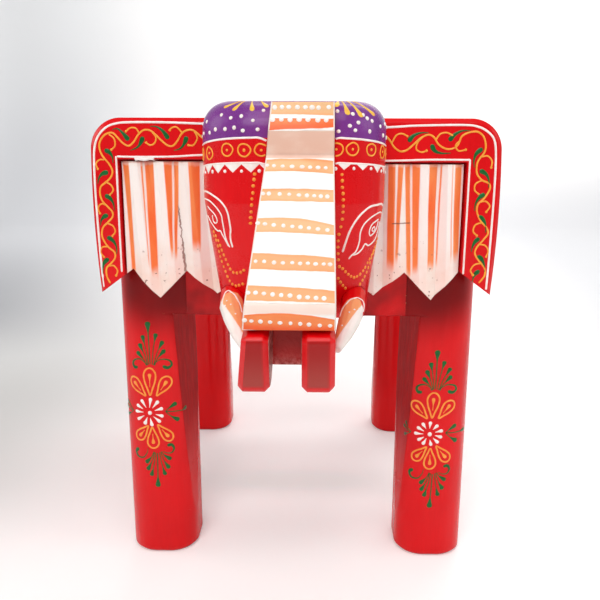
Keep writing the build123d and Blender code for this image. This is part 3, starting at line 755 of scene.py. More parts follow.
    def make(self, name, material, slot):
        """Turns what was collected into one piece that rides on the stool."""
        mesh = bpy.data.meshes.new(name)
        mesh.from_pydata(self.points, [], self.faces)
        mesh.validate()
        mesh.shade_smooth()
        piece = bpy.data.objects.new(name, mesh)
        bpy.context.scene.collection.objects.link(piece)
        mesh.materials.append(material)
        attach(piece, "root")
        print(name, "faces", len(mesh.polygons))
        return piece


def cone_paint(name, colour, darker, gloss=0.3):
    """Thick glossy paint whose colour runs thin and dark here and there."""
    paint = Paint(name)
    thin = paint.cloud(0.3, detail=3)
    mottled = paint.mix((thin * 1.5 - 0.5).most(0).least(1), colour, darker)
    crackle = paint.cloud(1.8, detail=2)
    return paint.finish(mottled, crackle * 0.15 + (gloss - 0.07), [(crackle, 0.08)], coat=0.25)


white_cone = cone_paint("white_cone_paint", WHITE, srgb(244, 220, 206))
yellow_cone = cone_paint("yellow_cone_paint", YELLOW, srgb(240, 138, 40))
amber_cone = cone_paint("amber_cone_paint", srgb(252, 172, 70), srgb(238, 112, 34))
petal_cone = cone_paint("petal_cone_paint", LEAF_YELLOW, srgb(232, 150, 60))
green_cone = cone_paint("green_cone_paint", GREEN, srgb(8, 70, 28))
HEAD_SLOT, RED_SLOT = "purple_red_painted_wood", "red_painted_wood"
CREAM_SLOT, IVORY_SLOT = "cream_orange_painted_wood", "ivory_painted_wood"
print("cone lift", Cone.LIFT, "mm")

# %% [markdown]
# ## The head's ornament
# The cap has scattered white dots and the petals of a half flower on each side of the trunk. Two white
# lines frame a red band with yellow rings. Under it hangs a row of white points with a dot below each
# gap. Places are (distance round from the middle of the face, height), in millimetres.

# %% Cap and band
cap_dots = Cone(head_skin, seed=3)
CAP_DOTS = [
    (-39.4, 291.9), (-32.4, 290.4), (-26.4, 291.3), (-20, 289.2), (-14.8, 294.1), (-42.1, 284.7),
    (-35.3, 284.9),
    (-29.9, 285.6), (-25.2, 284.2), (-17.6, 284.8), (22.7, 293.8), (31.5, 292.5), (38.2, 292.1), (40.3, 290.4),
    (34, 288.3), (29, 286.7), (23.1, 284), (32, 284.5), (41.1, 283.9), (50.7, 286.4), (54.3, 281.8),
    (43.6, 289.1),
    (-47.5, 283.0), (-52.0, 288.5), (-56.0, 282.5), (-61.0, 287.5), (-66.0, 281.0), (-71.0, 286.5),
    (-76.0, 281.5),
    (58.5, 287.5), (62.0, 280.5), (66.5, 286.0), (71.5, 280.5), (77.0, 286.0),
]
for u, v in CAP_DOTS:
    cap_dots.dot(u, v, 1.05)
cap_dots.make("head_cap_dots", white_cone, HEAD_SLOT)

band_rings = Cone(head_skin, seed=5)
for u, v in [(-71, 271.2), (-60, 271.6), (-48.5, 272.5), (-34.4, 274.4), (-24.7, 274.5), (-15.9, 274.6),
             (22, 275.1), (30.8, 275.1), (42.8, 274.7), (54.4, 273.3), (65.5, 271.8), (76.5, 271.2)]:
    band_rings.ring(u, v, 3.15, 0.85, squash=1.08)
    band_rings.dot(u, v, 0.75)
band_rings.make("head_band_rings", yellow_cone, HEAD_SLOT)


def head_line(start, end, height):
    """Control points of a line round the head, at a height that may depend on how far back it is."""
    points = []
    for k in range(int(abs(end - start) / 4) + 1):
        u = start + (end - start) * k / int(abs(end - start) / 4)
        hit = head_skin.at(u, 275)
        points.append((u, height(hit[0].y / MM)))
    return points


white_lines = Cone(head_skin, seed=7)
for start, end in ((-82, -13), (19, 82)):
    white_lines.stroke(head_line(start, end, cap_edge), 1.1)
    white_lines.stroke(head_line(start, end, band_edge), 1.0)
white_lines.make("head_white_lines", white_cone, HEAD_SLOT)
print("cap dots", len(CAP_DOTS))

# %% Hanging points
hanging = Cone(head_skin, seed=9)
POINT_TIPS = {
    -1: [(-77, 259.5), (-68, 260), (-59, 260.5), (-50.3, 261.5), (-40.8, 262.3), (-31.1, 262.9),
         (-21.3, 263.2), (-12.6, 263.4)],
    1: [(17.5, 264.6), (26.2, 264.7), (37, 264.3), (48.6, 262.6), (58, 261.5), (67, 261), (76, 260.5)],
}
for side, tips in POINT_TIPS.items():
    gaps = [((a[0] + b[0]) / 2, max(a[1], b[1]) + 4.2) for a, b in zip(tips, tips[1:])]
    outline = sorted(tips + gaps)
    columns = []
    for (u0, v0), (u1, v1) in zip(outline, outline[1:]):
        for part in range(8):
            t = part / 8
            u, v = u0 + (u1 - u0) * t, v0 + (v1 - v0) * t
            top = band_edge(head_skin.at(u, 268)[0].y / MM)
            columns.append(((u, min(v, top - 0.1)), (u, top)))
    hanging.strip(columns)
    for u, v in gaps:
        hanging.dot(u, v - 3.4, 0.95)
hanging.make("head_hanging_points", white_cone, HEAD_SLOT)

petals = Cone(head_skin, seed=11)
for root, tip in [
    ((-31, 298.9), (-41, 295.6)), ((-28, 298.9), (-32.6, 294)), ((-21.5, 298.9), (-20.4, 293.7)),
    ((-16.6, 298.9), (-12.6, 295.6)),
    ((24.5, 298.9), (21.4, 296)), ((27.8, 298.9), (28.6, 291.9)), ((32.8, 298.9), (37.2, 290.9)),
    ((39, 298.9), (48, 291.9)),
]:
    petals.stroke([root, tip], 2.6 if tip[0] < 0 else 3.1, "drop")
petals.make("head_cap_petals", petal_cone, HEAD_SLOT)
print("petals done")

# %% [markdown]
# ## Eyes and garlands
# Each eye is a set of white cone lines: a long brow, a lid that runs out into a point and a curled
# pupil. They were drawn freehand, so the two sides differ. A string of orange dots comes down beside the
# trunk and two garlands swing from it across each cheek.

# %% Eyes
eyes = Cone(head_skin, seed=13)
EYE_LINES = [
    (1.15, [(-62, 251.2), (-56.3, 252.1), (-50.2, 251.7), (-45.5, 250.6), (-41.8, 249.3), (-38.9, 247.6),
         (-36.6, 245.2),
            (-35.4, 242.4), (-34.9, 239.4), (-34.6, 236.0), (-34.5, 233.2), (-35.1, 230.2), (-35.2, 227.3),
            (-34.3, 223.5)]),
    (0.95, [(-60, 247.9), (-54.2, 247.9), (-48.9, 247.3), (-44.7, 245.3), (-41.8, 242.9), (-40.1, 240.4),
         (-39.9, 237.6),
            (-39.6, 234.2), (-39.3, 230.4), (-38.3, 226.6), (-36.4, 223.4)]),
    (0.9, [(-57.5, 239), (-54, 236.5), (-50.1, 234.2), (-47.8, 232.7), (-45.3, 231.7), (-42.7, 231.9),
         (-41.6, 230.2),
           (-39.5, 227.4), (-37.3, 223.9)]),
    (0.85, [(-54, 244.4), (-51.2, 243.0), (-47.9, 241.7), (-45.6, 240.0), (-44.5, 238.1), (-44.7, 236.7),
         (-46.7, 235.7),
            (-48.6, 236.5), (-49.1, 238.2), (-48.9, 239.4), (-48.2, 240)]),
    (1.25, [(60, 244.5), (56, 245.7), (50.2, 245.8), (43.3, 245.3), (38.3, 242.6), (35.0, 239.5),
         (32.4, 235.8), (30.5, 232.1),
            (28.8, 227.0), (27.1, 221.7)]),
    (0.95, [(60, 240.5), (56, 241.3), (52.0, 241.0), (46.2, 239.7), (41.6, 237.3), (39.2, 234.7),
         (38.1, 231.4), (38.2, 227.5),
            (37.4, 223.9), (36.0, 221.3), (33.5, 219.7), (31.5, 217.7)]),
    (0.9, [(58.8, 236), (58.6, 232.6), (57.8, 230.1), (55.0, 226.7), (50.8, 224.9), (46.7, 224.0),
         (43.2, 225.2),
           (41.0, 222.5), (37.6, 220.4), (33.9, 219.7)]),
    (0.85, [(55.1, 237.6), (48.2, 235.9), (46.0, 233.5), (45.8, 231.0), (47.4, 229.3), (50.1, 230.0),
         (53.2, 231.7),
            (54.6, 233.7), (55.1, 236.8)]),
    (0.7, [(50.9, 234.1), (48.6, 233.2), (48.6, 231.9), (50.7, 231.5), (51.8, 232.7), (51.0, 233.8)]),
]
for width, controls in EYE_LINES:
    eyes.stroke(controls, width)
eyes.make("head_eyes", white_cone, HEAD_SLOT)

# %% Garlands
garlands = Cone(head_skin, seed=17)
for u, v in [
    (-19.4, 262.6), (-19.7, 259.9), (-20.2, 256.6), (-20.4, 253), (-20.9, 250), (-21.1, 246.8),
    (-21.5, 243.2), (-21.8, 240.2),
    (-22, 237.2), (25.2, 262.5), (25.4, 259.4), (25.5, 256), (25.9, 252.9), (26.1, 249.7), (26.1, 246.4),
    (26.2, 243.3),
    (26, 239.6), (25.4, 235.5), (24.4, 231.5), (24.2, 228), (24.2, 224.6), (24.4, 221), (24.7, 217.6),
]:
    garlands.dot(u, v, 0.92)
STRINGS = [
    (0.86, 2.5, [(25.6, 213.8), (28.4, 212.2), (31.1, 209.9), (33.9, 208.2), (36.5, 207.1), (39.0, 207.2),
         (41.8, 208.1),
                 (45.1, 210.0), (49.7, 214.6), (56.9, 220.6), (62, 226)]),
    (0.86, 2.5, [(25.2, 207.2), (27.4, 204.4), (30.3, 201.8), (32.7, 200.2), (35.5, 199.3), (39.5, 200.1),
         (42.1, 201.4),
                 (46.1, 204.5), (50.4, 209.3), (54.6, 217.2), (60, 222)]),
    (0.86, 2.6, [(-27.7, 211.3), (-30.7, 209.8), (-34.4, 209.4), (-36.5, 209.8), (-38.3, 211.2), (-40.9, 215.7),
                 (-43.8, 220.6), (-46.4, 226.2), (-51, 231)]),
    (0.86, 2.6, [(-29.2, 203.5), (-32.2, 202.5), (-35.6, 201.9), (-37.9, 202.6), (-41.3, 205.5), (-44.3, 211.3),
                 (-46.9, 216.7), (-48.7, 225.5), (-53, 229)]),
]
for radius, spacing, controls in STRINGS:
    travelled, last = spacing, None
    for place in garlands.smooth([Vector(c) for c in controls]):
        travelled += (place - last).length if last else 0
        last = place
        if travelled >= spacing:
            travelled = 0
            garlands.dot(place.x, place.y, radius, tall=1.1)
garlands.make("head_garlands", amber_cone, HEAD_SLOT)
print("strings", len(STRINGS))

# %% [markdown]
# ## The ear borders
# Each ear has a vine in its L-shaped border: a wavy orange stem, a tendril curled back from each crest
# and a green drop leaf on the other side. White lines run along the outer edge and round the lining.
# A bead of white filler closes part of the left lining's top joint.

# %% Vines
STEMS = {
    -1: [(-46, 274), (-50.5, 277.7), (-54.0, 281.0), (-57.6, 283.8), (-61.2, 283.9), (-64.3, 282.0),
         (-66.8, 278.1), (-69.5, 275.3),
         (-72.4, 275.4), (-75.9, 278.1), (-79.1, 281.3), (-82.2, 283.7), (-85.8, 283.9), (-88.9, 281.6),
         (-91.6, 277.7),
         (-94.7, 275.2), (-97.9, 276.5), (-101.0, 279.8), (-103.7, 282.3), (-107.0, 281.9), (-109.7, 279.8),
         (-111.6, 276.2),
         (-111.4, 272.3), (-109.7, 268.7), (-106.6, 264.8), (-105.0, 260.8), (-106.3, 257.2),
         (-109.5, 254.3), (-112.2, 252.1),
         (-113.0, 248.4), (-112.0, 244.0), (-108.8, 240.3), (-106.4, 237.4), (-106.6, 234.4),
         (-109.4, 231.4), (-112.4, 228.4),
         (-113.4, 224.4), (-112.6, 220.9), (-110.0, 216.7), (-106.6, 213.7), (-106.5, 210.2),
         (-109.2, 206.8), (-111.8, 204.1),
         (-112.0, 199.4), (-110.2, 194.9)],
    1: [(50, 282), (53.3, 278.9), (56.0, 275.0), (59.6, 272.6), (63.2, 273.3), (67.0, 276.5), (70.8, 280.0),
        (75.0, 281.8),
        (78.3, 280.4), (81.0, 276.5), (85.4, 274.1), (89.4, 274.4), (92.1, 276.6), (93.7, 280.8),
        (97.1, 282.9), (102.1, 283.6),
        (105.8, 281.2), (107.5, 276.6), (107.1, 272.4), (104.4, 268.5), (103.2, 265.3), (103.6, 260.3),
        (106.6, 256.7),
        (110.6, 254.9), (111.4, 251.7), (108.7, 246.6), (105.2, 242.9), (104.9, 238.5), (107.3, 233.4),
        (110.8, 229.7),
        (112.0, 226.0), (109.5, 222.3), (106.0, 217.8), (105.2, 214.0), (108.1, 209.5), (111.2, 205.7),
        (111.6, 201.1), (108.4, 196.6)],
}
TENDRILS = {
    -1: [[(-57.2, 283.5), (-55.5, 279.6), (-57.8, 275.7), (-60.6, 275.6)], [(-63.6, 281.9), (-66.9, 285.5),
         (-69.8, 285.2), (-71.0, 283.9)],
         [(-81.5, 283.4), (-79.1, 279.9), (-80.0, 276.7), (-82.6, 275.6), (-84.8, 277.0)], [(-88.3, 281.7),
          (-90.2, 284.8), (-93.4, 285.1), (-95.9, 283.2)],
         [(-106.0, 281.6), (-103.0, 279.1), (-102.7, 275.2), (-104.9, 273.0)], [(-109.2, 267.2),
          (-112.0, 267.3), (-114.2, 265.1), (-113.4, 262.1)],
         [(-108.9, 254.6), (-106.2, 252.8), (-105.2, 249.9), (-107.2, 247.4)], [(-109.3, 241.0),
          (-112.3, 242.2), (-114.6, 239.8), (-113.8, 236.6)],
         [(-109.9, 230.8), (-106.6, 229.3), (-105.4, 226.0), (-107.2, 223.4)], [(-110.4, 217.0),
          (-113.6, 216.6), (-114.8, 213.6), (-113.0, 210.8)],
         [(-110.6, 205.3), (-107.5, 205.6), (-105.4, 202.6), (-106.4, 199.6)]],
    1: [[(54.6, 277.2), (57.0, 281.4), (60.2, 282.4), (63.2, 281.0)], [(72.2, 280.8), (69.2, 277.6),
         (68.6, 273.8), (71.6, 272.2), (74.4, 273.0)],
        [(79.4, 279.0), (81.6, 282.2), (85.2, 283.0), (88.4, 281.6)], [(93.0, 278.6), (90.6, 276.0),
         (92.4, 273.0), (96.4, 273.6)],
        [(105.4, 269.6), (109.0, 270.2), (111.6, 267.4), (111.4, 263.8)], [(106.8, 256.6), (103.2, 254.6),
         (102.8, 251.0), (105.2, 248.8)],
        [(106.4, 244.2), (109.6, 244.6), (112.0, 241.8), (110.2, 238.6)], [(108.0, 232.4), (104.4, 231.0),
         (103.4, 227.2), (105.6, 224.8)],
        [(107.6, 219.6), (110.8, 219.0), (112.8, 216.0), (111.8, 212.4)], [(109.0, 208.4), (105.4, 207.6),
         (103.2, 204.2), (104.8, 201.4)]],
}
LEAVES = {  # tail first, round end last
    -1: [[(-103.6, 284.0), (-101.0, 284.7), (-98.0, 282.4), (-94.6, 278.2)], [(-93.9, 272.6), (-89.6, 274.6),
         (-87.4, 277.8), (-86.4, 280.4)],
         [(-82.0, 286.0), (-78.6, 285.8), (-75.2, 283.6), (-71.8, 279.0)], [(-69.0, 272.7), (-65.4, 273.8),
          (-63.0, 276.6), (-61.4, 280.6)],
         [(-104.4, 265.6), (-104.6, 269.0), (-106.4, 271.6), (-109.0, 272.9)], [(-114.0, 253.6),
          (-113.0, 257.0), (-110.8, 259.4), (-107.4, 260.4)],
         [(-105.2, 238.4), (-105.6, 242.4), (-107.4, 245.4), (-110.2, 247.2)], [(-113.8, 229.6),
          (-113.2, 232.6), (-111.4, 234.6), (-109.0, 235.8)],
         [(-105.2, 212.8), (-105.4, 217.2), (-107.2, 220.6), (-110.4, 222.8)], [(-114.2, 200.2),
          (-114.0, 204.6), (-112.8, 207.6), (-110.2, 210.0)]],
    1: [[(75.0, 282.9), (70.4, 282.8), (66.4, 281.0), (64.0, 277.8)], [(88.0, 271.8), (83.0, 271.6),
         (79.0, 273.0), (77.0, 276.6)],
        [(98.4, 284.0), (93.8, 284.0), (89.4, 281.6), (86.8, 278.4)], [(101.8, 263.8), (101.4, 267.8),
         (102.6, 271.6), (106.0, 274.4)],
        [(110.6, 252.6), (110.6, 256.4), (108.6, 260.2), (104.8, 262.2)], [(103.4, 239.2), (103.8, 243.2),
         (105.6, 246.6), (108.8, 249.0)],
        [(110.6, 226.6), (110.4, 230.4), (108.8, 234.0), (105.8, 236.2)], [(103.0, 215.2), (103.6, 218.6),
         (105.0, 221.4), (107.4, 223.4)],
        [(111.4, 203.4), (111.0, 207.2), (109.4, 210.8), (106.6, 213.0)], [(104.8, 196.8), (105.0, 199.6),
         (106.2, 202.2), (108.6, 204.2)]],
}
for side, label in ((-1, "left"), (1, "right")):
    vine = Cone(ear_skins[side], seed=20 + side)
    vine.stroke(STEMS[side], 1.1)
    for controls in TENDRILS[side]:
        vine.stroke(controls, 0.95)
        vine.dot(*controls[-1], 0.75, rise=0.6)
    vine.make("ear_vine_" + label, yellow_cone, RED_SLOT)
    leaves = Cone(ear_skins[side], seed=30 + side)
    for controls in LEAVES[side]:
        leaves.stroke(controls, 2.9, "drop")
    leaves.make("ear_leaves_" + label, green_cone, RED_SLOT)

# %% White lines on the ears
EAR_LINES = {
    -1: [(1.25, [(-38, 286.9), (-57.5, 287.7), (-75.8, 288.2), (-93, 288.2), (-101, 287.6), (-107.2, 285.4),
         (-112, 280.6), (-114.4, 274.6),
                 (-115.3, 266), (-115.6, 250), (-115.4, 230), (-114.9, 210), (-114.2, 192.6)]),
         (1.15, [(-38, 270.4), (-55, 270.1), (-71, 269.2), (-92, 269.0), (-102.0, 269.2)]),
         (1.15, [(-102.5, 269.4), (-102.5, 261), (-102.8, 230), (-102.9, 201.8)])],
    1: [(1.25, [(38, 285.2), (55.3, 286.0), (69.1, 286.8), (94.2, 287.2), (103, 286.2), (109, 283.0),
        (112.4, 278.4), (113.6, 270),
                (114.0, 255), (113.9, 235), (113.5, 210), (113.0, 192.6)]),
        (1.15, [(38, 267.3), (56, 267.4), (77, 268.0), (97, 268.0), (98.8, 268.2)]),
        (1.15, [(99.2, 268.3), (99.2, 261), (99.1, 230), (99.0, 201.8)])],
}
for side, label in ((-1, "left"), (1, "right")):
    lines = Cone(ear_skins[side], seed=40 + side)
    for width, controls in EAR_LINES[side]:
        lines.stroke(controls, width)
    lines.make("ear_white_lines_" + label, white_cone, RED_SLOT)
filler = Cone(ear_skins[-1], seed=44)
filler.stroke([(-93, 267.2), (-90, 268.0), (-86, 267.7), (-82.5, 268.2), (-79.5, 267.4)], 1.9)
filler.make("ear_filler_left", white_cone, RED_SLOT)

# %% [markdown]
# ## Dots on the trunk
# A row of white dots runs along each orange band. The painter's hand is not a ruler: the dots' places
# across the trunk are listed, each row falls a little to one side and every dot's size differs a little.

# %% Trunk dots
trunk_dots = Cone(trunk_skin, seed=51)
DOT_ROWS = [  # height at the left and right end, radius, places across
    (295.5, 295.5, 1.25, (-8.7, -5.2, -1.8, 2.5, 6.4, 9.7, 12.9, 17.9)),
    (289.6, 289.6, 1.25, (-9.8, -5.4, -1.1, 3.4, 7.7, 12.6, 16.7, 21)),
    (267.3, 266.2, 1.15, (-12.6, -9.2, -4.8, -0.1, 4.9, 8.9, 12.9, 16.7)),
    (254.5, 253.2, 1.15, (-14.0, -11.1, -5.8, -1.1, 3.6, 7.5, 11.1, 14.3, 17.5)),
    (241.3, 238.6, 1.15, (-15.8, -12.4, -8.1, -3.5, 0.8, 4.7, 8.7, 13, 17.5)),
    (225.5, 224.4, 1.1, (-19, -15.9, -11.9, -7.3, -3.2, 1.2, 4.8, 8.4, 12, 15.8, 18.7)),
    (213.1, 210.9, 1.15, (-18.6, -15.2, -11.4, -7.4, -3.5, 0.5, 4.7, 8.5, 12.3, 15.9)),
    (200.8, 198.2, 1.15, (-20.1, -17.0, -12.9, -8.5, -4, 0.8, 5.2, 9.2, 14.1, 18.8)),
]
for left_z, right_z, radius, places in DOT_ROWS:
    for x in places:
        t = (x - places[0]) / (places[-1] - places[0])
        z = left_z + (right_z - left_z) * t + trunk_dots.hand.uniform(-0.15, 0.15)
        trunk_dots.dot(x, z, radius, rise=0.4)
for low, high in (((-9.5, 284.3), (20.4, 285.1)), ((-20.6, 209.3), (19.4, 208.6))):
    steps = [Vector(low).lerp(Vector(high), k / 8) for k in range(9)]
    trunk_dots.stroke([(p.x, p.y + trunk_dots.hand.uniform(-0.3, 0.3)) for p in steps], 0.6)
trunk_dots.make("trunk_dots", white_cone, CREAM_SLOT)
print("rows", len(DOT_ROWS))

# %% [markdown]
# ## The flower on each front leg
# One motif stands on both front legs. From the top: a green fan of seven drops over two curls, three
# outlined petals, a white daisy with green sprigs at its sides, three petals hanging down and an
# upside-down fan. It is drawn once on its own small sheet and laid on each leg at its own height.


# %% Leg flowers
FAN = ((1.8, 63.2), (-2.3, 54.2), (-4.8, 48.6), (-6.9, 43.0), (7.2, 55.5), (11.7, 50.5), (12.9, 44.6))
LOW_FAN = ((-4.5, -35.0), (-3.5, -40.1), (-0.9, -44.3), (3.6, -52.4), (9.2, -43.6), (12.3, -38.8),
(13.9, -32.2))
CURLS = (
    ((0.3, 34.4), (-3.7, 37.7), (-7.7, 37.4), (-10, 34.8), (-8.8, 32.0), (-6.2, 32.4)),
    ((4.1, 34.4), (9.4, 38.0), (14.6, 37.2), (16.1, 34.2), (13.4, 32.2), (10.3, 33.6)),
    ((-2.0, -24.2), (-2.6, -27.4), (-5.5, -31.1), (-9.8, -31), (-11.4, -27.6), (-8.8, -25.2)),
    ((8.0, -26.2), (10.7, -27.4), (13.8, -27.2), (15.4, -24.4), (13.8, -21.6), (11.0, -22.2)),
)
PETALS = (  # root, tip and width
    ((1.3, 13.4), (1.6, 32.0), 7.8), ((-1.8, 13.0), (-12.0, 24.4), 7.4), ((5.7, 13.2), (14.4, 25.8), 7.4),
    ((-1.0, -8.2), (-9.4, -18.2), 6.8), ((1.6, -9.2), (2.0, -24.0), 7.6), ((5.4, -7.4), (14.2, -18.2), 6.8),
)
SPRIGS = (
    (10.9, 2.1, 3.2, ((18.4, 7.6), (28.6, 1.3), (19.8, -4.9))),
    (-11.9, 1.1, 2.6, ((-19.9, 6.3), (-23.2, 2.0), (-20.3, -3.7))),
)


def teardrop(root, tip, width):
    """Control points of a closed petal outline, pointed at its root and round at its tip."""
    along = Vector(tip) - Vector(root)
    aside = Vector((-along.y, along.x)).normalized() * (width / 2)
    flank = ((0.22, 0.4), (0.5, 0.86), (0.76, 1.0), (0.94, 0.6))
    out = [Vector(root) + along * share + aside * reach for share, reach in flank]
    back = [Vector(root) + along * share - aside * reach for share, reach in reversed(flank)]
    return [tuple(root), *out, tuple(tip), *back]


def leg_flower(skin, label, across, middle, rise, tilt, daisy, seed):
    """The motif with its daisy at (across, middle) on the leg's sheet."""
    green, amber, white = (Cone(skin, seed + k, step=0.5) for k in range(3))

    def at(*points):
        return [(across + x + tilt * z, middle + z * (rise if z > 0 else 1)) for x, z in points]

    for fan, base, longest in ((FAN, (2.3, 33.2), 0), (LOW_FAN, (4.4, -26.0), 3)):
        for k, head in enumerate(fan):
            away, up = (head[0] - base[0]) * 0.94, head[1] - base[1]
            stem = [(base[0] + away * a, base[1] + up * b) for a, b in ((0.28, 0.06), (0.5, 0.48), (1, 1))]
            green.stroke(at(*stem), 3.8 if k == longest else 3.0, "bud")
    for curl in CURLS:
        green.stroke(at(*curl), 2.4, "drop")
    for x, z, width, heads in SPRIGS:
        for head in heads:
            green.stroke(at((x, z), (x + (head[0] - x) * 0.4, z + (head[1] - z) * 0.5), head), width, "bud")
    for root, tip, width in PETALS:
        amber.stroke(at(*teardrop(root, tip, width)), 1.15, closed=True)
        inner = [Vector(root).lerp(Vector(tip), share) for share in (0.3, 0.5, 0.8)]
        amber.stroke(at(*inner), 2.4, "bud")
    for k in range(11):
        turn = 2 * math.pi * (k + white.hand.uniform(-0.08, 0.08)) / 11 + 0.1
        inner, outer = white.hand.uniform(3.4, 4.6), white.hand.uniform(0.9, 1.03) * daisy
        x, z = math.sin(turn), math.cos(turn)
        white.stroke(at((x * inner, 1.3 + z * inner), (x * outer, 1.3 + z * outer * 0.94)), 2.4, "drop")
    white.dot(*at((0.6, 1.0))[0], 1.5)
    green.make("leg_leaves_" + label, green_cone, RED_SLOT)
    amber.make("leg_petals_" + label, amber_cone, RED_SLOT)
    white.make("leg_daisy_" + label, white_cone, RED_SLOT)


leg_flower(leg_skins[-1], "left", -4.8, 102.0, 1.0, 0.0, 10.8, 60)
leg_flower(leg_skins[1], "right", -4.2, 89.2, 0.93, 0.02, 9.8, 70)
print("leg flowers", 2)

# %% [markdown]
# ## Cuff lines on the tusks
# Each orange cuff ends in a white arch at the cheek, and has a few fine dots.

# %% Cuffs
CUFFS = {
    "left": ([(-37.2, 193.4), (-37.3, 195.6), (-37.2, 197.2), (-36.6, 198.8), (-35.4, 199.7), (-33.9, 199.8),
    (-32, 199.2),
              (-30.1, 198), (-28.2, 195.8), (-26.9, 193.6), (-26.1, 191.8)],
             [(-34.7, 196.6), (-35.5, 194.4), (-32.3, 195.4), (-29.2, 191.9)]),
    "right": ([(37.3, 191.3), (37.8, 193), (37.8, 195.2), (36.6, 197), (34.2, 198.1), (31.4, 197.8),
    (28.7, 196), (26.2, 193),
               (24.8, 190)],
              [(29.7, 192.9), (32.5, 193.8), (35.1, 193.7), (25.8, 187.3)]),
}
for label, (arch, dots) in CUFFS.items():
    cuff = Cone(Skin(["tusk_" + label], straight_at_front), seed=80, step=0.5)
    cuff.stroke(arch, 0.95)
    for x, z in dots:
        cuff.dot(x, z, 0.55)
    cuff.make("tusk_cuff_lines_" + label, white_cone, IVORY_SLOT)
print("cuffs", len(CUFFS))

# %% [markdown]
# ## The cloth on the back
# The head's band of rings and hanging points is carried on round the stool as the hem of a saddle cloth,
# along both sides and across the rear. The seat has the same rings in its red border, white lines on both
# edges of the border and a flower in the middle. Each strip is laid on its own flat sheet.


# %% Saddle cloth
def cloth_hem(skin, label, spans, top, seed):
    """Two white lines with yellow rings between them, and white points with dots under them."""
    lines, rings = Cone(skin, seed, step=1.6), Cone(skin, seed + 1, step=1.0)
    for start, end in spans:
        steps = round((end - start) / 12.5)
        pitch = (end - start) / steps
        for height, width in ((top, 1.1), (top - 12.4, 1.0)):
            places = [start + (end - start) * k / 24 for k in range(25)]
            lines.stroke([(u, height + lines.hand.uniform(-0.2, 0.2)) for u in places], width)
        columns = []
        for k in range(steps * 8 + 1):
            fall = abs((k / 8 + 0.5) % 1 - 0.5) * 2
            u = start + pitch * k / 8
            columns.append(((u, top - 17.6 + fall * 4.4), (u, top - 12.6)))
        lines.strip(columns)
        for k in range(steps):
            rings.ring(start + pitch * (k + 0.5), top - 6.2, 3.15, 0.85)
            rings.dot(start + pitch * (k + 0.5), top - 6.2, 0.75)
            lines.dot(start + pitch * (k + 0.5), top - 16.8, 0.95)
    lines.make("hem_lines_" + label, white_cone, RED_SLOT)
    rings.make("hem_rings_" + label, yellow_cone, RED_SLOT)


def medallion(skin, label, u, v, slot, seed):
    """A daisy with a ring of eight outlined petals and green buds between them."""
    white, amber, green = (Cone(skin, seed + k, step=0.8) for k in range(3))
    for k in range(11):
        x, z = math.sin(2 * math.pi * k / 11), math.cos(2 * math.pi * k / 11)
        white.stroke([(u + x * 4, v + z * 4), (u + x * 10, v + z * 10)], 2.4, "drop")
    white.dot(u, v, 1.5)
    for k in range(8):
        x, z = math.sin(math.pi * k / 4), math.cos(math.pi * k / 4)
        amber.stroke(teardrop((u + x * 12.6, v + z * 12.6), (u + x * 27, v + z * 27), 8.6), 1.15, closed=True)
        amber.stroke([(u + x * 17, v + z * 17), (u + x * 23, v + z * 23)], 2.2, "drop")
        x, z = math.sin(math.pi * (k + 0.5) / 4), math.cos(math.pi * (k + 0.5) / 4)
        green.stroke([(u + x * 20, v + z * 20), (u + x * 30, v + z * 30)], 3.0, "bud")
    white.make("medallion_daisy_" + label, white_cone, slot)
    amber.make("medallion_petals_" + label, amber_cone, slot)
    green.make("medallion_leaves_" + label, green_cone, slot)


SIDE_BLOCKS = {"left": (-1, ["body_block", "leg_front_left", "leg_rear_left"]),
               "right": (1, ["body_block", "leg_front_right", "leg_rear_right"])}
HEM_TOP_Z = 262
for label, (side, blocks) in SIDE_BLOCKS.items():
    side_skin = Skin(blocks, lambda y, z, side=side: ((side * 300, y, z), (-side, 0, 0)))
    cloth_hem(side_skin, label, [(-40, 172)], HEM_TOP_Z, 90 + side)
    medallion(side_skin, label, 57, 208, RED_SLOT, 100 + side * 3)
rear_skin = Skin(["body_block"], lambda x, z: ((x, 400, z), (0, -1, 0)))
cloth_hem(rear_skin, "rear", [(-96, -16), (16, 96)], HEM_TOP_Z, 110)
print("hem at", HEM_TOP_Z, "mm")

# %% Seat border
seat_lines, seat_rings, seat_dots = (Cone(seat_skin, seed=120 + k, step=1.4) for k in range(3))


def seat_corners(inset):
    """The seat's corners, moved in by inset mm."""
    front, rear = SEAT_FRONT_HALF - inset, SEAT_REAR_HALF - inset
    near, far = SEAT_FRONT_Y + inset, SEAT_REAR_Y - inset
    return [(-front, near), (front, near), (rear, far), (-rear, far)]


def round_the_seat(inset, spacing):
    """Even places round the seat's edge."""
    corners, places = [Vector(c) for c in seat_corners(inset)], []
    for here, there in zip(corners, corners[1:] + corners[:1]):
        steps = round((there - here).length / spacing)
        places += [here.lerp(there, k / steps) for k in range(steps)]
    return places


for inset in (6.4, 17.0):
    seat_lines.stroke([tuple(p) for p in round_the_seat(inset, 9)], 1.1, closed=True)
for place in round_the_seat(11.8, 12):
    seat_rings.ring(place.x, place.y, 2.9, 0.8)
    seat_rings.dot(place.x, place.y, 0.7)
for row in range(12):
    for column in range(-3, 4):
        x, y = column * 11 + (row % 2) * 5.5 - 2.7, SEAT_FRONT_Y + 26 + row * 16.4
        reach = SEAT_FRONT_HALF - 22 + (y - SEAT_FRONT_Y) * SEAT_FLARE
        if abs(x) < reach and math.hypot(x, y - 59) > 33 and y < SEAT_REAR_Y - 22:
            seat_dots.dot(x + seat_dots.hand.uniform(-1.2, 1.2), y + seat_dots.hand.uniform(-1.2, 1.2), 1.1)
seat_lines.make("seat_white_lines", white_cone, HEAD_SLOT)
seat_rings.make("seat_rings", yellow_cone, HEAD_SLOT)
seat_dots.make("seat_dots", white_cone, HEAD_SLOT)
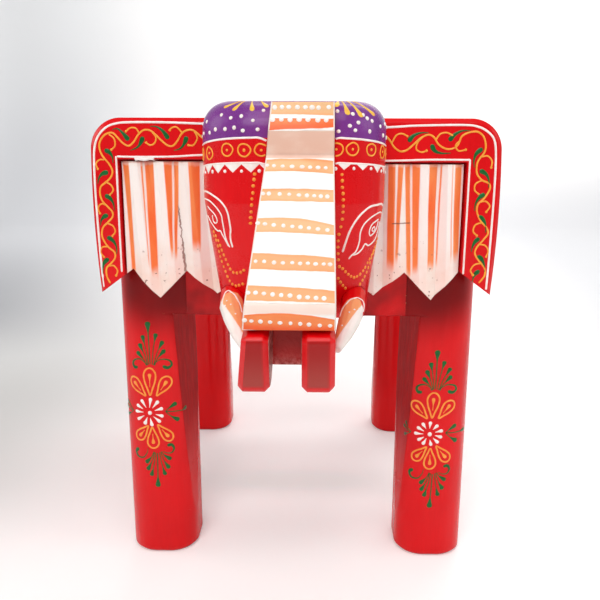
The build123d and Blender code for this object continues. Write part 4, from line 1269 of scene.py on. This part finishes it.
medallion(seat_skin, "seat", 0, 59, HEAD_SLOT, 130)
print("seat border", [round(c, 1) for c in seat_corners(17)[2]])

# %% [markdown]
# ## The room
# A pale floor runs up into a pale wall behind, as one swept sheet with no corner to see. The lamps are
# large and soft: one high in front, one lower in front, one on each side, and one behind the stool that
# faces the wall. A dim world lights the shadows; seen by the camera it is plain white. Painted shade
# greys the paper to the left and far to the right, and a painted shadow marks a soft crease between the
# legs. A little light of its own, that only the camera sees, keeps red bounce out of it and hides its far
# edges.

# %% Floor
FLOOR_HALF, FLOOR_FRONT, FLOOR_BACK, SWEEP, WALL = 2.6, -2.0, 1.5, 0.5, 2.2
profile = [(FLOOR_FRONT, 0)]
for turn in (step * math.pi / 24 for step in range(13)):
    profile.append((FLOOR_BACK + SWEEP * math.sin(turn), SWEEP * (1 - math.cos(turn))))
profile += [(FLOOR_BACK + SWEEP, WALL)]
sweep_points = [(x, y, z) for y, z in profile for x in (-FLOOR_HALF, FLOOR_HALF)]
sweep_faces = [(2 * k, 2 * k + 1, 2 * k + 3, 2 * k + 2) for k in range(len(profile) - 1)]
floor_mesh = bpy.data.meshes.new("studio_floor")
floor_mesh.from_pydata(sweep_points, [], sweep_faces)
floor_mesh.shade_smooth()
floor = bpy.data.objects.new("studio_floor", floor_mesh)
bpy.context.scene.collection.objects.link(floor)
paint = Paint("studio_floor")
floor_colour = paint.mix(paint.cloud(0.002, detail=2), srgb(252, 250, 249), srgb(248, 245, 243))
floor_part = paint.y.ramp(-100, 500)
# Painted shade: the paper greys to the left of the stool and far to the right, where the backdrop falls into shade.
dim_left = (paint.x + paint.y * 0.2).ramp(150, -450) * floor_part
shade_grey = paint.mix(paint.z.ramp(100, 600), srgb(212, 213, 216), srgb(233, 234, 235))
shade_grey = paint.mix(paint.y.ramp(500, 1500), srgb(160, 161, 164), shade_grey)
floor_colour = paint.mix(dim_left, floor_colour, shade_grey)
near_left = paint.x.ramp(-60, -330) * paint.y.ramp(620, 200)
floor_colour = paint.mix(near_left * paint.y.ramp(-150, 50), floor_colour, srgb(196, 196, 194))
dim_right = paint.x.ramp(50, 600) * floor_part * paint.z.ramp(300, 0)
floor_colour = paint.mix(dim_right * 0.75, floor_colour, srgb(206, 208, 212))
# Painted shadow of a soft crease in the paper between the legs.
crease_shadow = paint.y.ramp(0, 32) * paint.y.ramp(80, 36) * abs(paint.x).ramp(110, 20)
floor_colour = paint.mix(crease_shadow * 0.35, floor_colour, srgb(170, 160, 154))
to_camera = paint.add("LightPath", out="Is Camera Ray")
between_legs = abs(paint.x).ramp(180, 60) * abs(paint.y - 40).ramp(260, 80)
glow = paint.mix(between_legs, (0.14, 0.14, 0.14), (0.15, 0.25, 0.25))
far_out = abs(paint.x).ramp(900, 1700).most(paint.y.ramp(-600, -1500))
unlifted = dim_left.most(near_left).most(dim_right).most(paint.z.ramp(0, 400))
lift = paint.mix(to_camera * (1 - unlifted), (0, 0, 0), glow)
lift = paint.mix(to_camera * far_out, lift, (0.8, 0.8, 0.8))
floor_mesh.materials.append(paint.finish(floor_colour, 0.7, coat=0, glow=lift))
print("floor faces", len(sweep_faces))


# %% Lamps
def soft_lamp(name, place, target, size, power):
    """A square soft box that faces a target."""
    data = bpy.data.lights.new(name, "AREA")
    data.shape, data.size, data.energy = "SQUARE", size, power
    lamp = bpy.data.objects.new(name, data)
    bpy.context.scene.collection.objects.link(lamp)
    lamp.location = place
    lamp.rotation_euler = (Vector(target) - Vector(place)).to_track_quat("-Z", "Y").to_euler()


STOOL_MIDDLE = (0, 0, 0.15)
soft_lamp("top_lamp", (0.1, -0.75, 1.45), STOOL_MIDDLE, 1.0, 8.5)
soft_lamp("front_lamp", (-0.35, -1.45, 1.2), STOOL_MIDDLE, 0.8, 8.8)
soft_lamp("right_lamp", (1.5, -0.3, 0.8), STOOL_MIDDLE, 0.9, 5)
soft_lamp("left_lamp", (-1.5, 0.0, 0.8), STOOL_MIDDLE, 0.9, 5)
soft_lamp("wall_lamp", (0.3, 0.9, 1.7), (0, 2.0, 0.5), 1.2, 26)
world = bpy.data.worlds.new("studio")
bpy.context.scene.world = world
world.use_nodes = True
background = world.node_tree.nodes["Background"]
rays = world.node_tree.nodes.new("ShaderNodeLightPath")
level = world.node_tree.nodes.new("ShaderNodeMapRange")
world.node_tree.links.new(rays.outputs["Is Camera Ray"], level.inputs["Value"])
level.inputs["To Min"].default_value, level.inputs["To Max"].default_value = 0.3, 1.0
world.node_tree.links.new(level.outputs[0], background.inputs["Strength"])
background.inputs["Color"].default_value = (1, 1, 1, 1)
bpy.context.scene.view_settings.view_transform = "Standard"
print("lamps", len(bpy.data.lights))
